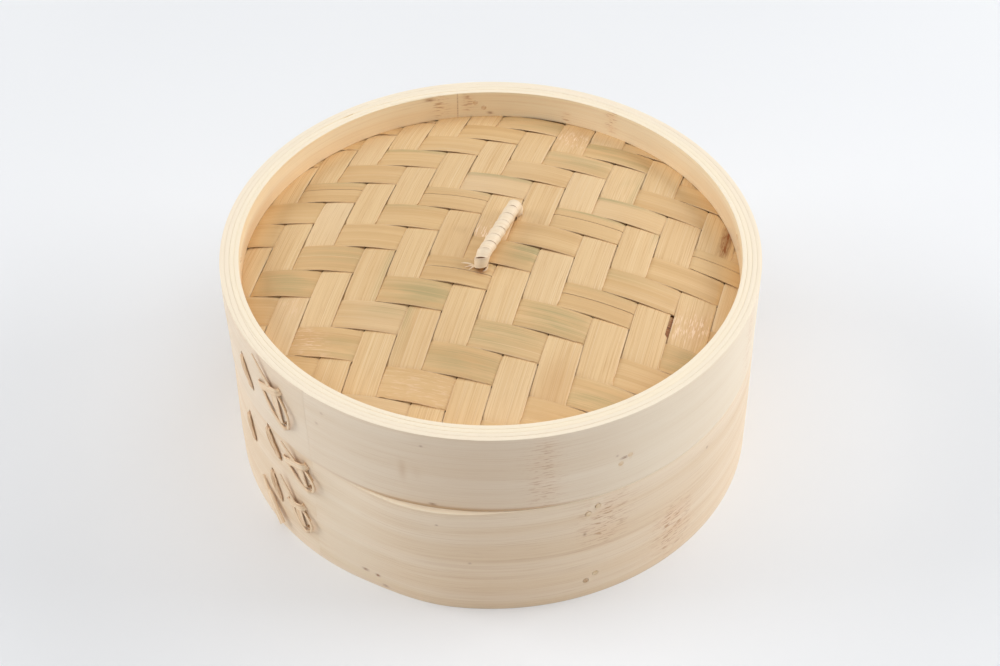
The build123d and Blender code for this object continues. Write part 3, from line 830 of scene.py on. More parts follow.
class STEAMER_OT_pegs(bpy.types.Operator):
    """Drive the pegs that hold the hoops together"""

    bl_idname = "steamer.pegs"
    bl_label = "Pegs"

    def execute(self, context):
        sizes = context.scene.steamer_floor
        hoops = context.scene.steamer_hoops
        wall = 2 * hoops.strip + hoops.turn_gap
        for body, innermost in (("basket", "basket_inner_hoop"), ("lid", "lid_seat_hoop")):
            outermost = f"{body}_outer_hoop"
            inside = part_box(innermost)[1].x - wall
            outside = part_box(outermost)[1].x
            pegs = []
            for number, (angle, height) in enumerate(peg_spots(PEGGED[outermost])):
                start, end = polar(inside, angle, height), polar(outside, angle, height)
                stained = number % 2 == 0 and height < STAINED_BELOW
                stain = PEG_STAIN if stained else 0.0
                pegs.append(rod(start, end, sizes.peg / 2, sizes.peg_dome, shift=0.3 * number, stain=stain))
            settle(make_piece(f"{body}_peg_set", pegs, bamboo("peg_bamboo")), body, "peg", f"{body}_pegs")
        return {"FINISHED"}


# Floor of the basket


BEARERS = ("floor_bearer_1", "floor_bearer_2")
BOARD_STEPS = 61


def board(low, high, run, radius, rounding, seed):
    """Rings of a flat board with rounded edges, trimmed to the round of the basket at both ends."""
    side = 1 - run
    half = (high[side] - low[side]) / 2
    middle = (high[side] + low[side]) / 2
    soft = 0.3 * rounding
    shares = (-1.0, -0.6, -0.2, 0.2, 0.6, 1.0)
    upper = [(share * (half - rounding), high.z) for share in shares]
    lower = [(share * (half - rounding), low.z) for share in reversed(shares)]
    right = [(half - soft, high.z - soft), (half, high.z - rounding)]
    right += [(half, low.z + rounding), (half - soft, low.z + soft)]
    left = [(-x, z) for x, z in reversed(right)]
    section = np.array(upper + right + lower + left)
    steps = np.linspace(-1.0, 1.0, BOARD_STEPS)
    sway = 0.12 * MM * drift(steps, seed, 2.0)
    rings = np.zeros((len(steps), len(section), 3))
    for i, step in enumerate(steps):
        across = middle + section[:, 0]
        rings[i, :, side] = across
        rings[i, :, run] = step * np.sqrt(radius**2 - across**2)
        rings[i, :, 2] = section[:, 1] + sway[i] * (section[:, 1] > (low.z + high.z) / 2)
    tone = 0.35 * drift([seed * 0.73], seed, 1.0)[0]
    return rings, steps * radius, ring_lengths(section) + seed, {"tone": tone}


class STEAMER_OT_floor(bpy.types.Operator):
    """Lay the bearers and slats of the basket's floor and pin them"""

    bl_idname = "steamer.floor"
    bl_label = "Floor"

    def execute(self, context):
        sizes = context.scene.steamer_floor
        finish = bamboo("slat_bamboo")
        slats = sorted(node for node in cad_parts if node.startswith("floor_slat"))
        for number, node in enumerate(slats, start=1):
            low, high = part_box(node)
            strip = board(low, high, 1, sizes.radius, sizes.rounding, number * 1.37)
            settle(make_piece(f"slat_{number:02d}", [strip], finish), "basket", "floor", node)
        for number, node in enumerate(BEARERS, start=1):
            low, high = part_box(node)
            strip = board(low, high, 0, sizes.radius, sizes.rounding, number * 2.71)
            settle(make_piece(f"bearer_{number}", [strip], finish), "basket", "floor", node)
        pins = []
        for node in slats:
            low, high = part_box(node)
            for bearer in BEARERS:
                bearer_low, bearer_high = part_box(bearer)
                x, y = (low.x + high.x) / 2, (bearer_low.y + bearer_high.y) / 2
                start, end = Vector((x, y, bearer_low.z)), Vector((x, y, high.z))
                pins.append(rod(start, end, sizes.pin / 2, 0.3 * MM, shift=0.2 * len(pins)))
        settle(make_piece("floor_pin_set", pins, bamboo("peg_bamboo")), "basket", "peg", "floor_pins")
        return {"FINISHED"}


# Woven lid


# Place of a splint: its edges, bounds and levels of the crossings along it, and its axes across and along
Lane = namedtuple("Lane", "low high bounds levels across run")
# How far a splint sags where it passes under others, in metres
UNDER_SAG = 0.12 * MM


class Weave:
    """The twill of the lid: where its warps and wefts lie and which of them is on top."""

    def __init__(self, sizes):
        self.sizes = sizes
        self.u = Vector((cos(sizes.weave), sin(sizes.weave), 0.0))
        self.v = Vector((-sin(sizes.weave), cos(sizes.weave), 0.0))
        self.warps = list(range(-7, 8))
        self.wefts = list(range(-7, 7))

    def warp_bound(self, number):
        """Right edge of a warp's place."""
        return self.sizes.warp_edge + self.sizes.warp_pitch * number + self.sizes.warp_growth * number**2 / 2

    def weft_bound(self, number):
        """Far edge of a weft's place."""
        return self.sizes.weft_pitch * (number + 1)

    def weft_over(self, warp, weft):
        """Each weft passes over two warps, then under two, one step on from its neighbour."""
        return (warp - weft) % 4 in (1, 2)

    def warp(self, number):
        """Place of a warp."""
        levels = [-1 if self.weft_over(number, weft) else 1 for weft in self.wefts]
        bounds = [self.weft_bound(weft) for weft in self.wefts]
        return Lane(self.warp_bound(number - 1), self.warp_bound(number), bounds, levels, self.u, self.v)

    def weft(self, number):
        """Place of a weft."""
        levels = [1 if self.weft_over(warp, number) else -1 for warp in self.warps]
        bounds = [self.warp_bound(warp) for warp in self.warps]
        return Lane(self.weft_bound(number - 1), self.weft_bound(number), bounds, levels, self.v, self.u)


def float_heights(run, lane, sizes, draw, bow):
    """Height of a splint along its run: up or down at each crossing, and bowed between them."""
    bounds, levels = lane.bounds, lane.levels
    height = np.full_like(run, float(levels[0]))
    for bound, before, after in zip(bounds, levels, levels[1:]):
        height += (after - before) * smooth_steps(run, bound, sizes.step)
    height *= sizes.crimp
    starts = [0] + [i + 1 for i in range(len(levels) - 1) if levels[i] != levels[i + 1]]
    for first, following in zip(starts, starts[1:] + [len(levels)]):
        low = bounds[first - 1] if first else -sizes.radius
        high = bounds[following - 1] if following < len(levels) else sizes.radius
        arch = np.sin(pi * np.clip((run - low) / (high - low), 0.0, 1.0)) ** 1.3
        height += arch * (draw.uniform(0.5, 1.0) * bow if levels[first] > 0 else -UNDER_SAG)
    return height


def splint_edges(run, half, lane, seed, short):
    """Both edges of a splint as shares of its half width: narrower at crossings, worn back if short."""
    corners = random.Random(seed)
    waist = np.zeros(len(run))
    for bound, before, after in zip(lane.bounds, lane.levels, lane.levels[1:]):
        waist += corners.uniform(0.0, 0.5) * MM * abs(after - before) / 2 * hump(run, bound, 1.7 * MM)
    left, right = waist / half - 1.0, 1.0 - waist / half
    if short:
        place, half_length, depth = short
        worn_back = smooth_steps(half_length * MM - abs(run - place * MM), 0.0, 3 * MM)
        right = right - depth * MM / half * worn_back
    return left, right


# Section of a splint: shares of its half width, and how far its faces are worn down there, in metres
SPLINT_SHARES = np.array([-1.0, -0.97, -0.86, -0.5, 0.0, 0.5, 0.86, 0.97, 1.0])
SPLINT_WEAR = np.array([0.2, 0.04, 0.0, 0.0, 0.0, 0.0, 0.0, 0.04, 0.2]) * MM
# Ring round the section as (number of the share, 1 on the upper and -1 on the lower face), and its corners
UPPER_RING = [(index, 1.0) for index in range(len(SPLINT_SHARES))]
SPLINT_RING = UPPER_RING + [(index, -1.0) for index, face in reversed(UPPER_RING)]
SPLINT_CORNERS = [0, 8, 9, 17]


def splint_strip(sizes, lane, crown, draw, bow, marks=(), part=None, short=None, steps=230):
    """Rings of one splint that follows the crown of the lid.

    A part is (side, place across, start) of a split splint.
    Short is the place, half length and depth of a worn edge.
    """
    half = (lane.high - lane.low - sizes.gap) / 2
    middle = (lane.low + lane.high) / 2
    dome = sizes.rise / sizes.rise_radius**2
    limit = sizes.radius - 0.3 * MM
    seed = draw.uniform(0.0, 60.0)
    along = np.linspace(-1.0, 1.0, steps)
    wide = 1.0 + 0.018 * drift(along, seed, 3.0)
    shift = 0.16 * MM * drift(along, seed + 9.0, 2.2)
    run = along * sqrt(max(sizes.radius**2 - middle**2, (20 * MM) ** 2))
    left, right = splint_edges(run, half, lane, seed, short)
    first, last = np.full(steps, -1.0), np.full(steps, 1.0)
    opening = np.ones(steps)
    if part:
        side, place, start = part
        opening = smooth_steps(run, start * MM, 12 * MM)
        cut = place + side * 0.02 * opening
        first, last = (cut, last) if side > 0 else (first, cut)
    rings = np.zeros((steps, len(SPLINT_RING), 3))
    spread = np.zeros((steps, len(SPLINT_RING)))
    for j, (index, face) in enumerate(SPLINT_RING):
        share = SPLINT_SHARES[index]
        a = np.clip((first + last) / 2 + (last - first) / 2 * share, left, right)
        beside_split = part and (share < 0) == (part[0] > 0)
        lift = face * (sizes.splint / 2 - SPLINT_WEAR[index] * (opening if beside_split else 1.0))
        side = np.clip(middle + a * half * wide + shift, -limit, limit)
        place = along * np.sqrt(sizes.radius**2 - side**2)
        height = float_heights(place, lane, sizes, random.Random(seed), bow)
        height += 0.14 * MM * (1.0 - a * a) + lift + crown - dome * (side**2 + place**2)
        rings[:, j, :] = np.outer(side, lane.across) + np.outer(place, lane.run)
        rings[:, j, 2] = height
        spread[:, j] = a
    drawn = {name: np.zeros((steps, len(SPLINT_RING))) for name in MARKS}
    drawn["tone"] += draw.uniform(-0.25, 0.35) + 0.2 * drift(along, seed + 4.0, 2.5)[:, None]
    drawn["edge"][:, SPLINT_CORNERS] = 0.3
    for kind, place, half_length, aside, half_side, strength in marks:
        near = hump(run, place * MM, half_length * MM)[:, None]
        drawn[kind] += strength * near * hump(spread, aside, half_side)
    section = [(SPLINT_SHARES[index] * half, face * sizes.splint / 2) for index, face in SPLINT_RING]
    return rings, run, ring_lengths(np.array(section)) + seed, drawn


# Marks on single splints: (mark, place along in millimetres, half length, place across, half width, strength)
WARP_MARKS = {
    1: (("node", 98.5, 9.0, 0.0, 1.4, 1.0),),
    0: (("node", 3.0, 7.0, -0.1, 1.3, 1.0), ("node", -4.0, 9.0, 0.0, 1.5, 0.5)),
    6: (
        ("node", -20.0, 9.0, 0.0, 1.4, 1.2),
        ("stain", 51.0, 16.0, 0.5, 0.17, 1.5),
        ("olive", 51.0, 15.0, 0.5, 0.22, 0.8),
    ),
    -3: (("olive", -20.0, 30.0, 0.9, 0.3, 0.5),),
    -1: (("olive", -52.0, 26.0, -0.8, 0.4, 0.5), ("stain", 2.0, 2.5, 0.3, 0.4, 0.3)),
    -5: (("node", -50.0, 10.0, 0.0, 1.2, 0.5),),
    3: (
        ("olive", 62.0, 26.0, 0.9, 0.25, 0.6),
        ("olive", 66.0, 6.0, 0.2, 0.4, 0.4),
        ("tone", -75.0, 20.0, 0.0, 1.5, -0.7),
    ),
    4: (("olive", 40.0, 18.0, 0.9, 0.3, 0.6),),
}
WEFT_MARKS = {
    -6: (("node", -4.0, 40.0, 0.0, 1.5, 0.3),),
    -5: (
        ("node", -64.0, 9.0, 0.0, 1.2, 0.6),
        ("tone", 9.0, 20.0, 0.0, 1.5, -0.4),
        ("olive", 9.0, 22.0, 0.1, 1.1, 0.8),
        ("olive", -48.0, 12.0, -0.4, 0.5, 0.9),
        ("olive", 66.0, 16.0, 0.0, 1.2, 0.8),
    ),
    -4: (("olive", 16.0, 20.0, 0.2, 1.0, 0.8), ("olive", -34.0, 14.0, 0.5, 0.5, 0.5)),
    -3: (
        ("olive", -18.0, 18.0, 0.1, 1.1, 1.0),
        ("node", 1.0, 4.0, 0.0, 1.3, 0.7),
        ("olive", 40.0, 18.0, 0.0, 1.1, 0.9),
        ("olive", -84.0, 14.0, 0.0, 1.2, 0.7),
        ("olive", 101.0, 10.0, 0.0, 1.2, 0.9),
    ),
    -2: (
        ("olive", 20.0, 60.0, 0.9, 0.16, 0.7),
        ("olive", -60.0, 30.0, 0.2, 0.9, 0.4),
        # First: painted shadow round the foot of the handle. Second: a real stain and painted shade where this
        # weft shows through the wide gap beside the worn warp.
        ("stain", 1.6, 2.4, 0.2, 0.2, 1.2),
        ("stain", 89.5, 1.8, 0.0, 2.0, 1.5),
    ),
    -1: (("olive", 20.0, 10.0, 0.4, 0.8, 1.3), ("olive", 44.0, 30.0, 0.6, 0.4, 0.6)),
    0: (("olive", -60.0, 40.0, 0.8, 0.3, 0.5),),
    1: (("olive", 30.0, 50.0, 0.9, 0.14, 1.2), ("olive", -70.0, 30.0, 0.85, 0.2, 0.9)),
    2: (("olive", 44.0, 26.0, 0.9, 0.12, 1.4), ("olive", -10.0, 24.0, 0.9, 0.12, 1.2)),
    3: (("olive", -60.0, 30.0, 0.9, 0.14, 1.2), ("stain", -35.0, 5.0, -0.2, 0.3, 0.25)),
    4: (("olive", 30.0, 30.0, 0.2, 0.8, 0.8),),
    5: (("olive", 36.0, 24.0, 0.2, 1.0, 0.9), ("node", 94.0, 9.0, 0.0, 1.3, 0.8)),
    6: (("olive", 0.0, 40.0, 0.2, 1.0, 0.6),),
}
# Warps whose right edge is worn back: place along in millimetres, half length and depth
SHORT_WARPS = {5: (-24.6, 8.2, 1.3)}
# Wefts that are split: place across, and where the split starts
SPLIT_WEFTS = {1: (0.24, -200.0), -2: (0.1, -22.0)}
# How far the splints bow up between their crossings, in metres
WARP_BOW, WEFT_BOW = 0.45 * MM, 0.85 * MM
LINING_STEPS = 150


class STEAMER_OT_mat(bpy.types.Operator):
    """Weave the upper mat of the lid"""

    bl_idname = "steamer.mat"
    bl_label = "Upper mat"

    def execute(self, context):
        sizes = context.scene.steamer_mat
        weave = Weave(sizes)
        draw = random.Random(21)
        for place, number in enumerate(weave.warps, start=1):
            lane, marks, short = weave.warp(number), WARP_MARKS.get(number, ()), SHORT_WARPS.get(number)
            strip = splint_strip(sizes, lane, sizes.crown, draw, WARP_BOW, marks, short=short)
            piece = make_piece(f"warp_{place:02d}", [strip], bamboo("warp_bamboo"))
            settle(piece, "lid", "warp_splint", f"warp_splint_{place:02d}")
        for place, number in enumerate(weave.wefts, start=1):
            lane, marks, split = weave.weft(number), WEFT_MARKS.get(number, ()), SPLIT_WEFTS.get(number)
            seed = draw.random()
            strips = []
            for part in [(-1, *split), (1, *split)] if split else [None]:
                own = random.Random(seed)
                strips.append(splint_strip(sizes, lane, sizes.crown, own, WEFT_BOW, marks, part))
            piece = make_piece(f"weft_{place:02d}", strips, bamboo("weft_bamboo"))
            settle(piece, "lid", "weft_splint", f"weft_splint_{place:02d}")
        return {"FINISHED"}


class STEAMER_OT_lining(bpy.types.Operator):
    """Weave the lining under the upper mat"""

    bl_idname = "steamer.lining"
    bl_label = "Lining"

    def execute(self, context):
        sizes = context.scene.steamer_mat
        weave = Weave(sizes)
        draw = random.Random(34)
        crown = sizes.crown - sizes.lining_drop
        for kind, numbers, lane in (("warp", weave.warps, weave.warp), ("weft", weave.wefts, weave.weft)):
            strips = []
            for number in numbers:
                strip = splint_strip(sizes, lane(number), crown, draw, 0.0, steps=LINING_STEPS)
                # Painted shade: the lining's upper face is darkened strongly, so the gaps in the upper mat
                # above it look dark
                strip[3]["stain"][:, : len(UPPER_RING)] = 2.0
                strips.append(strip)
            piece = make_piece(f"lining_{kind}_set", strips, bamboo(f"{kind}_bamboo"))
            settle(piece, "lid", f"{kind}_splint", f"lining_{kind}s")
        return {"FINISHED"}


# Handle


def smooth_line(points, steps):
    """Points along a smooth line through some points, evenly by its parameter."""
    points = [np.array(p, float) for p in points]
    padded = [2 * points[0] - points[1]] + points + [2 * points[-1] - points[-2]]
    line = []
    for p0, p1, p2, p3 in zip(padded, padded[1:], padded[2:], padded[3:]):
        square, cube = 2 * p0 - 5 * p1 + 4 * p2 - p3, 3 * p1 - p0 - 3 * p2 + p3
        for t in np.linspace(0.0, 1.0, steps, endpoint=False):
            line.append(0.5 * (2 * p1 + (p2 - p0) * t + square * t**2 + cube * t**3))
    line.append(points[-1])
    return np.array(line)


def flat_ring(middle, aside, outward, width, thickness):
    """Ring of a flat strip with rounded edges."""
    e = 0.32 * thickness
    half, high = width / 2, thickness / 2
    edge = min(e, 0.4 * half)
    crest = high + 0.08 * thickness
    outline = [(-half + edge, high), (-0.4 * half, crest), (0.4 * half, crest)]
    outline += [(half - edge, high), (half, high - e), (half, -high + e), (half - edge, -high)]
    outline += [(0.0, -high), (-half + edge, -high), (-half, -high + e), (-half, high - e)]
    return [middle + aside * x + outward * y for x, y in outline]


def flat_strip(middles, asides, outwards, widths, thicknesses, marks, shift=0.0):
    """Rings of a flat strip along a line, with its own width and thickness at each point."""
    rings = np.array([flat_ring(*parts) for parts in zip(middles, asides, outwards, widths, thicknesses)])
    section = np.array(flat_ring(np.zeros(2), *np.eye(2), max(widths), max(thicknesses)))
    return rings, line_lengths(np.array(middles)), ring_lengths(section) + shift, marks


# Half length and radius of a toggle, and how far from a foot the wrapping ends, in metres
TOGGLE_REACH, TOGGLE_RADIUS = 8.5 * MM, 1.2 * MM
WRAP_END = 8.7 * MM
# Sides of the core, points between two places of its path, and points along one turn of the wrapping
CORE_SIDES = 18
CORE_STEPS = 6
WRAP_STEPS = 40
# Loose fibres at the near foot: where each one ends, in millimetres from their root, and points on half of it
FIBRE_TIPS = ((-6.5, 0.8, 1.4), (-5.0, -0.8, 0.2), (-3.2, -2.2, -0.2), (-5.6, 2.0, 0.6))
FIBRE_STEPS = 8


class STEAMER_OT_handle(bpy.types.Operator):
    """Bend the handle's core, wrap it and lock it with its toggles"""

    bl_idname = "steamer.handle"
    bl_label = "Handle"

    def execute(self, context):
        sizes = context.scene.steamer_handle
        middle = Vector(sizes.middle)
        along = Vector((cos(sizes.direction), sin(sizes.direction), 0.0))
        across = Vector((along.y, -along.x, 0.0))
        path = self.core_path(middle, along, sizes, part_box("handle_core")[0].z)
        strip = self.core_strip(path, across, sizes.core / 2)
        core = make_piece("handle_bar", [strip], bamboo("core_bamboo"))
        settle(core, "lid", "handle_core", "handle_core")
        strips = [self.wrap_strip(path, across, sizes)] + self.loose_fibres(path[0], middle.z)
        wrap = make_piece("handle_wrapping", strips, bamboo("wrap_bamboo"))
        settle(wrap, "lid", "handle_wrap", "handle_wrap")
        low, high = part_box("handle_toggles")
        toggles = []
        for sign in (-1, 1):
            spot = middle + along * (sign * sizes.spacing / 2)
            spot.z = (low.z + high.z) / 2
            start, end = spot - across * TOGGLE_REACH, spot + across * TOGGLE_REACH
            toggles.append(rod(start, end, TOGGLE_RADIUS, 0.3 * MM, shift=0.4 * sign))
        pins = make_piece("handle_toggle_pins", toggles, bamboo("core_bamboo"))
        settle(pins, "lid", "handle_core", "handle_toggles")
        return {"FINISHED"}

    def core_path(self, middle, along, sizes, foot):
        """Middle line of the bent core, from one foot over the bar to the other."""
        half, bend = sizes.spacing / 2, sizes.shoulder
        flat = [(-half, foot), (-half, (foot + middle.z) / 2), (-half, middle.z - bend)]
        for t in np.linspace(0.0, pi / 2, 7)[1:]:
            flat.append((-half + bend * (1 - cos(t)), middle.z - bend * (1 - sin(t))))
        flat += [(x, middle.z) for x in np.linspace(-half + bend, half - bend, 9)[1:-1]]
        for t in np.linspace(pi / 2, 0.0, 7)[:-1]:
            flat.append((half - bend * (1 - cos(t)), middle.z - bend * (1 - sin(t))))
        flat += [(half, middle.z - bend), (half, (foot + middle.z) / 2), (half, foot)]
        points = [middle + along * x + UP * (z - middle.z) for x, z in flat]
        return smooth_line(points, CORE_STEPS)

    def core_frame(self, path, across):
        """Direction along the core at each point of its path, and upright to it."""
        heading = np.gradient(path, axis=0)
        heading /= np.linalg.norm(heading, axis=1)[:, None]
        return heading, np.cross(across, heading)

    def core_strip(self, path, across, radius):
        """Rings of the bent core."""
        across = np.array(across)
        upright = self.core_frame(path, across)[1]
        turns = np.linspace(0.0, 2 * pi, CORE_SIDES, endpoint=False)
        rings = [[p + radius * (across * cos(t) + n * sin(t)) for t in turns] for p, n in zip(path, upright)]
        return np.array(rings), line_lengths(path), np.linspace(0.0, 2 * pi * radius, len(turns) + 1), {}

    def wrap_strip(self, path, across, sizes):
        """The strip wound over the bar and its shoulders."""
        across = np.array(across)
        heading, upright = self.core_frame(path, across)
        lengths = line_lengths(path)
        radius = sizes.core / 2 + sizes.wrap_thickness / 2 + 0.4 * MM
        outer = line_lengths(path + radius * upright)
        start, end = outer[0] + WRAP_END, outer[-1] - WRAP_END
        turns = (end - start) / sizes.wrap_pitch
        middles, asides, outwards, widths, tones = [], [], [], [], []
        for share in np.linspace(0.0, 1.0, int(turns * WRAP_STEPS)):
            angle = 2 * pi * turns * share + 0.6
            slack = noise.noise(Vector((share * turns * 0.9, 3.3, 0.0)))
            sway = noise.noise(Vector((share * turns * 1.7, 8.8, 0.0)))
            place = np.interp(start + (end - start) * share + 0.25 * MM * sway, outer, lengths)
            middle = np.array([np.interp(place, lengths, path[:, axis]) for axis in range(3)])
            ahead = np.array([np.interp(place, lengths, heading[:, axis]) for axis in range(3)])
            ahead /= np.linalg.norm(ahead)
            outward = across * sin(angle) + np.cross(across, ahead) * cos(angle)
            middles.append(middle + outward * (radius + 0.06 * MM * slack))
            tilt = ahead + outward * (0.07 + 0.03 * slack)
            asides.append(tilt / np.linalg.norm(tilt))
            outwards.append(outward)
            taper = min(1.0, 0.3 + 30.0 * share, 0.3 + 30.0 * (1.0 - share))
            widths.append(sizes.wrap_width * (0.93 + 0.07 * slack) * taper)
            tones.append(0.15 * slack)
        # Painted shade along the strip's edges, where one turn meets the next
        brown = np.zeros(11)
        brown[[3, 4, 5, 9, 10]] = (0.2, 0.9, 0.9, 0.9, 0.9)
        marks = {"tone": np.array(tones)[:, None], "edge": 0.1, "stain": brown[None, :]}
        return flat_strip(middles, asides, outwards, widths, [sizes.wrap_thickness] * len(widths), marks)

    def loose_fibres(self, foot, bar_height):
        """Loose fibres at the near end of the wrapping."""
        root = foot + np.array([-2.4 * MM, -0.6 * MM, 0.0])
        root[2] = bar_height - 4.6 * MM
        up = np.array(UP)
        strips = []
        for number, shift in enumerate(FIBRE_TIPS):
            tip = root + np.array(shift) * MM
            beside = np.cross(up, (tip - root) / np.linalg.norm(tip - root))
            line = smooth_line([root, (root + tip) / 2 + 0.5 * MM * up, tip], FIBRE_STEPS)
            count = len(line)
            widths, thicknesses = np.linspace(1.0, 0.25, count) * MM, [0.22 * MM] * count
            strips.append(flat_strip(line, [beside] * count, [up] * count, widths, thicknesses, {}, number))
        return strips


# Lacing


class LaceRow:
    """One row of lacing on an outer hoop.

    The knot's lower hole and the ends of the stitches are (degrees, millimetres up). The knot's rise, corner
    and tail are millimetres along and up from that hole. The stick is the stitch that stands off the wall.
    """

    def __init__(self, node, hoop, body, knot, rise, corner, tail, stitches, stick=None):
        self.node = node
        self.hoop = hoop
        self.body = body
        self.knot = knot
        self.rise = rise
        self.corner = corner
        self.tail = tail
        self.stitches = stitches
        self.stick = stick
        self.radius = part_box(hoop)[1].x

    def spot(self, along, up):
        """Angle and height of a place beside the knot's lower hole."""
        return radians(self.knot[0]) + along * MM / self.radius, (self.knot[1] + up) * MM

    def slots(self):
        """Every slot that the row needs in its hoop: both ends and the width."""
        cx, cy = self.corner
        found = [((0.8, 0.0), (2.8, 1.8), 2.4), ((-1.0, 0.84 * self.rise), (1.9, 0.52 * self.rise), 2.6)]
        found.append(((cx - 1.6, cy + 2.0), (cx - 0.7, cy + 2.4), 1.4))
        for number, stitch in enumerate(self.stitches):
            if number != self.stick:
                found.append((*self.stitch_ends(stitch), 2.6))
        return found

    def stitch_ends(self, stitch):
        """Both ends of a stitch, in millimetres along and up from the knot's lower hole."""
        per_degree = radians(1.0) * self.radius / MM
        return [((angle - self.knot[0]) * per_degree, height - self.knot[1]) for angle, height in stitch]


LACING = (
    LaceRow(
        "lid_lacing", "lid_outer_hoop", "lid",
        knot=(-137.0, 79.5), rise=18.0, corner=(-17.0, 9.7), tail=(-20.0, 30.4),
        stitches=[((-152.9, 95.0), (-149.4, 79.5))],
    ),
    LaceRow(
        "basket_upper_lacing", "basket_outer_hoop", "basket",
        knot=(-131.8, 45.5), rise=11.3, corner=(-16.0, 4.2), tail=(-17.2, 19.6),
        stitches=[((-145.3, 62.0), (-141.2, 48.0)), ((-155.5, 51.5), (-153.0, 38.5))],
    ),
    LaceRow(
        "basket_lower_lacing", "basket_outer_hoop", "basket",
        knot=(-133.6, 15.5), rise=11.4, corner=(-11.8, 6.2), tail=(-17.0, 24.6),
        stitches=[((-145.2, 33.0), (-142.4, 18.0)), ((-149.8, 21.5), (-141.0, 6.0))], stick=1,
    ),
)
# Points on a lacing strip between two of its places
LACE_STEPS = 9


def wall_strip(row, places, sizes, draw, shade=0.0, sides=1.0):
    """Strip on the wall through places (along, up, lift, width share, thickness share), in millimetres."""
    line = smooth_line(places, LACE_STEPS)
    middles, outwards = [], []
    for along, up, lift in line[:, :3]:
        angle, height = row.spot(along, up)
        wall = row.radius - dip_at(row.hoop, angle, height)
        middles.append(np.array(polar(wall + lift * MM, angle, height)))
        outwards.append(np.array(polar(1.0, angle, 0.0)))
    heading = np.gradient(np.array(middles), axis=0)
    asides = []
    for ahead, outward in zip(heading, outwards):
        aside = np.cross(ahead, outward)
        asides.append(aside / np.linalg.norm(aside))
    raised = [np.cross(a, h / np.linalg.norm(h)) for a, h in zip(asides, heading)]
    widths = line[:, 3] * sizes.width
    thicknesses = line[:, 4] * sizes.thickness
    tone = draw.uniform(-0.15, 0.3) - shade
    # Painted shade: the strip is darkened where it sinks into its slot, and along its sides and underside as
    # far as sides allows
    sunk_shade = np.clip(0.5 - line[:, 2], 0.0, 1.0)[:, None]
    brown = np.array([0.0, 0.0, 0.0, 0.0, 0.1, 0.4, 0.6, 0.6, 0.6, 0.4, 0.1])
    marks = {"tone": tone, "stain": np.maximum(0.8 * sunk_shade, sides * brown[None, :])}
    return flat_strip(middles, asides, raised, widths, thicknesses, marks, draw.uniform(0, 40))


def knot_strips(row, sizes, draw):
    """A knot: band across the top, arm and flat strip below it, loop of the eye and pointed tail."""
    deep = -sizes.depth / MM
    rise, (cx, cy), (tx, ty) = row.rise, row.corner, row.tail
    band = [(cx - 1.4, cy + 2.0, deep, 1.0, 1.0), (cx + 0.3, cy + 2.6, 0.5, 1.2, 1.0)]
    band += [(cx * 0.6 + 1.3, cy + 0.45 * (rise + 1.4 - cy) + 2.0, 1.3, 1.35, 1.0)]
    band += [(-2.8, rise + 1.2, 2.0, 1.35, 1.0), (-0.6, rise + 1.8, 1.3, 1.25, 1.0)]
    band += [(-0.2, rise + 2.0, -1.2, 1.1, 1.0)]
    arm = [(cx + 1.6, cy + 1.2, 0.2, 0.6, 1.2), (cx * 0.55 + 0.8, cy * 0.32, 0.9, 0.78, 1.2)]
    arm += [(-1.9, -2.1, 0.9, 0.75, 1.2), (1.2, -2.3, 0.8, 0.55, 1.2), (2.2, -1.4, deep, 0.4, 1.0)]
    flat = [(-4.9, rise - 0.4, 0.7, 1.5, 1.0), (-3.3, 0.48 * rise, 1.0, 1.35, 1.0)]
    flat += [(-2.1, 2.0, 0.8, 1.0, 1.0), (-1.0, -0.8, 0.3, 0.7, 1.0), (-0.4, -1.6, deep, 0.5, 1.0)]
    loop = [(-2.6, rise - 0.4, 0.6, 0.44, 1.4), (2.2, 0.8 * rise, 1.6, 0.5, 1.4)]
    loop += [(5.2, 0.5 * rise, 2.0, 0.56, 1.4), (4.9, 0.2 * rise, 1.7, 0.5, 1.4)]
    loop += [(2.8, -1.2, 0.6, 0.42, 1.2), (1.6, -1.8, deep, 0.3, 1.0)]
    tail = [(-5.2, rise - 2.4, 0.4, 0.9, 1.6), (-6.2, rise - 0.6, 1.1, 0.9, 1.8)]
    for share in (0.25, 0.5, 0.75, 1.0):
        place = (-6.2 + (tx + 8.0) * share, rise - 0.6 + (ty - rise + 0.6) * share)
        tail.append((*place, 1.1 + 0.7 * share, 0.9 - 0.6 * share, 1.8 - 0.9 * share))
    return [wall_strip(row, places, sizes, draw) for places in (tail, loop, flat, arm, band)]


def stitch_strips(row, stitch, sizes, draw, standing):
    """Four crossing strands over a slit, or a split stick that stands off the wall at its foot."""
    deep = -sizes.depth / MM
    (ax, ay), (bx, by) = row.stitch_ends(stitch)
    strips = []
    if standing:
        for aside, first, width in ((-0.8, 0.0, 0.75), (1.6, 0.3, 0.6)):
            places = []
            for t in np.linspace(first, 1.0, 6):
                place = (ax + (bx - ax) * t + 0.66 * aside, ay + (by - ay) * t + 0.75 * aside)
                places.append((*place, 0.7 + 2.0 * t, width, 2.6))
            places[0] = (*places[0][:3], 0.2, 1.4)
            # Less painted shade along the stick's sides
            strips.append(wall_strip(row, places, sizes, draw, -0.4, 0.35))
        return strips
    # Sway at the start and the end of each strand's middle stretch, and its width
    for before, after, width in ((-4.0, -2.4, 0.36), (0.2, 3.6, 0.34), (-2.6, 2.0, 0.32), (3.4, -0.8, 0.3)):
        places = [(ax, ay, deep, 0.2, 1.0)]
        for share in (0.06, 0.22, 0.4, 0.6, 0.78, 0.94):
            sway = (before + (after - before) * share) * sin(pi * share) ** 0.8
            lift = 0.15 + (1.9 - 4.0 * width) * sin(pi * share)
            places.append((ax + (bx - ax) * share + sway, ay + (by - ay) * share, lift, width, 1.3))
        places.append((bx, by, deep, 0.2, 1.0))
        strips.append(wall_strip(row, places, sizes, draw, 0.5))
    return strips


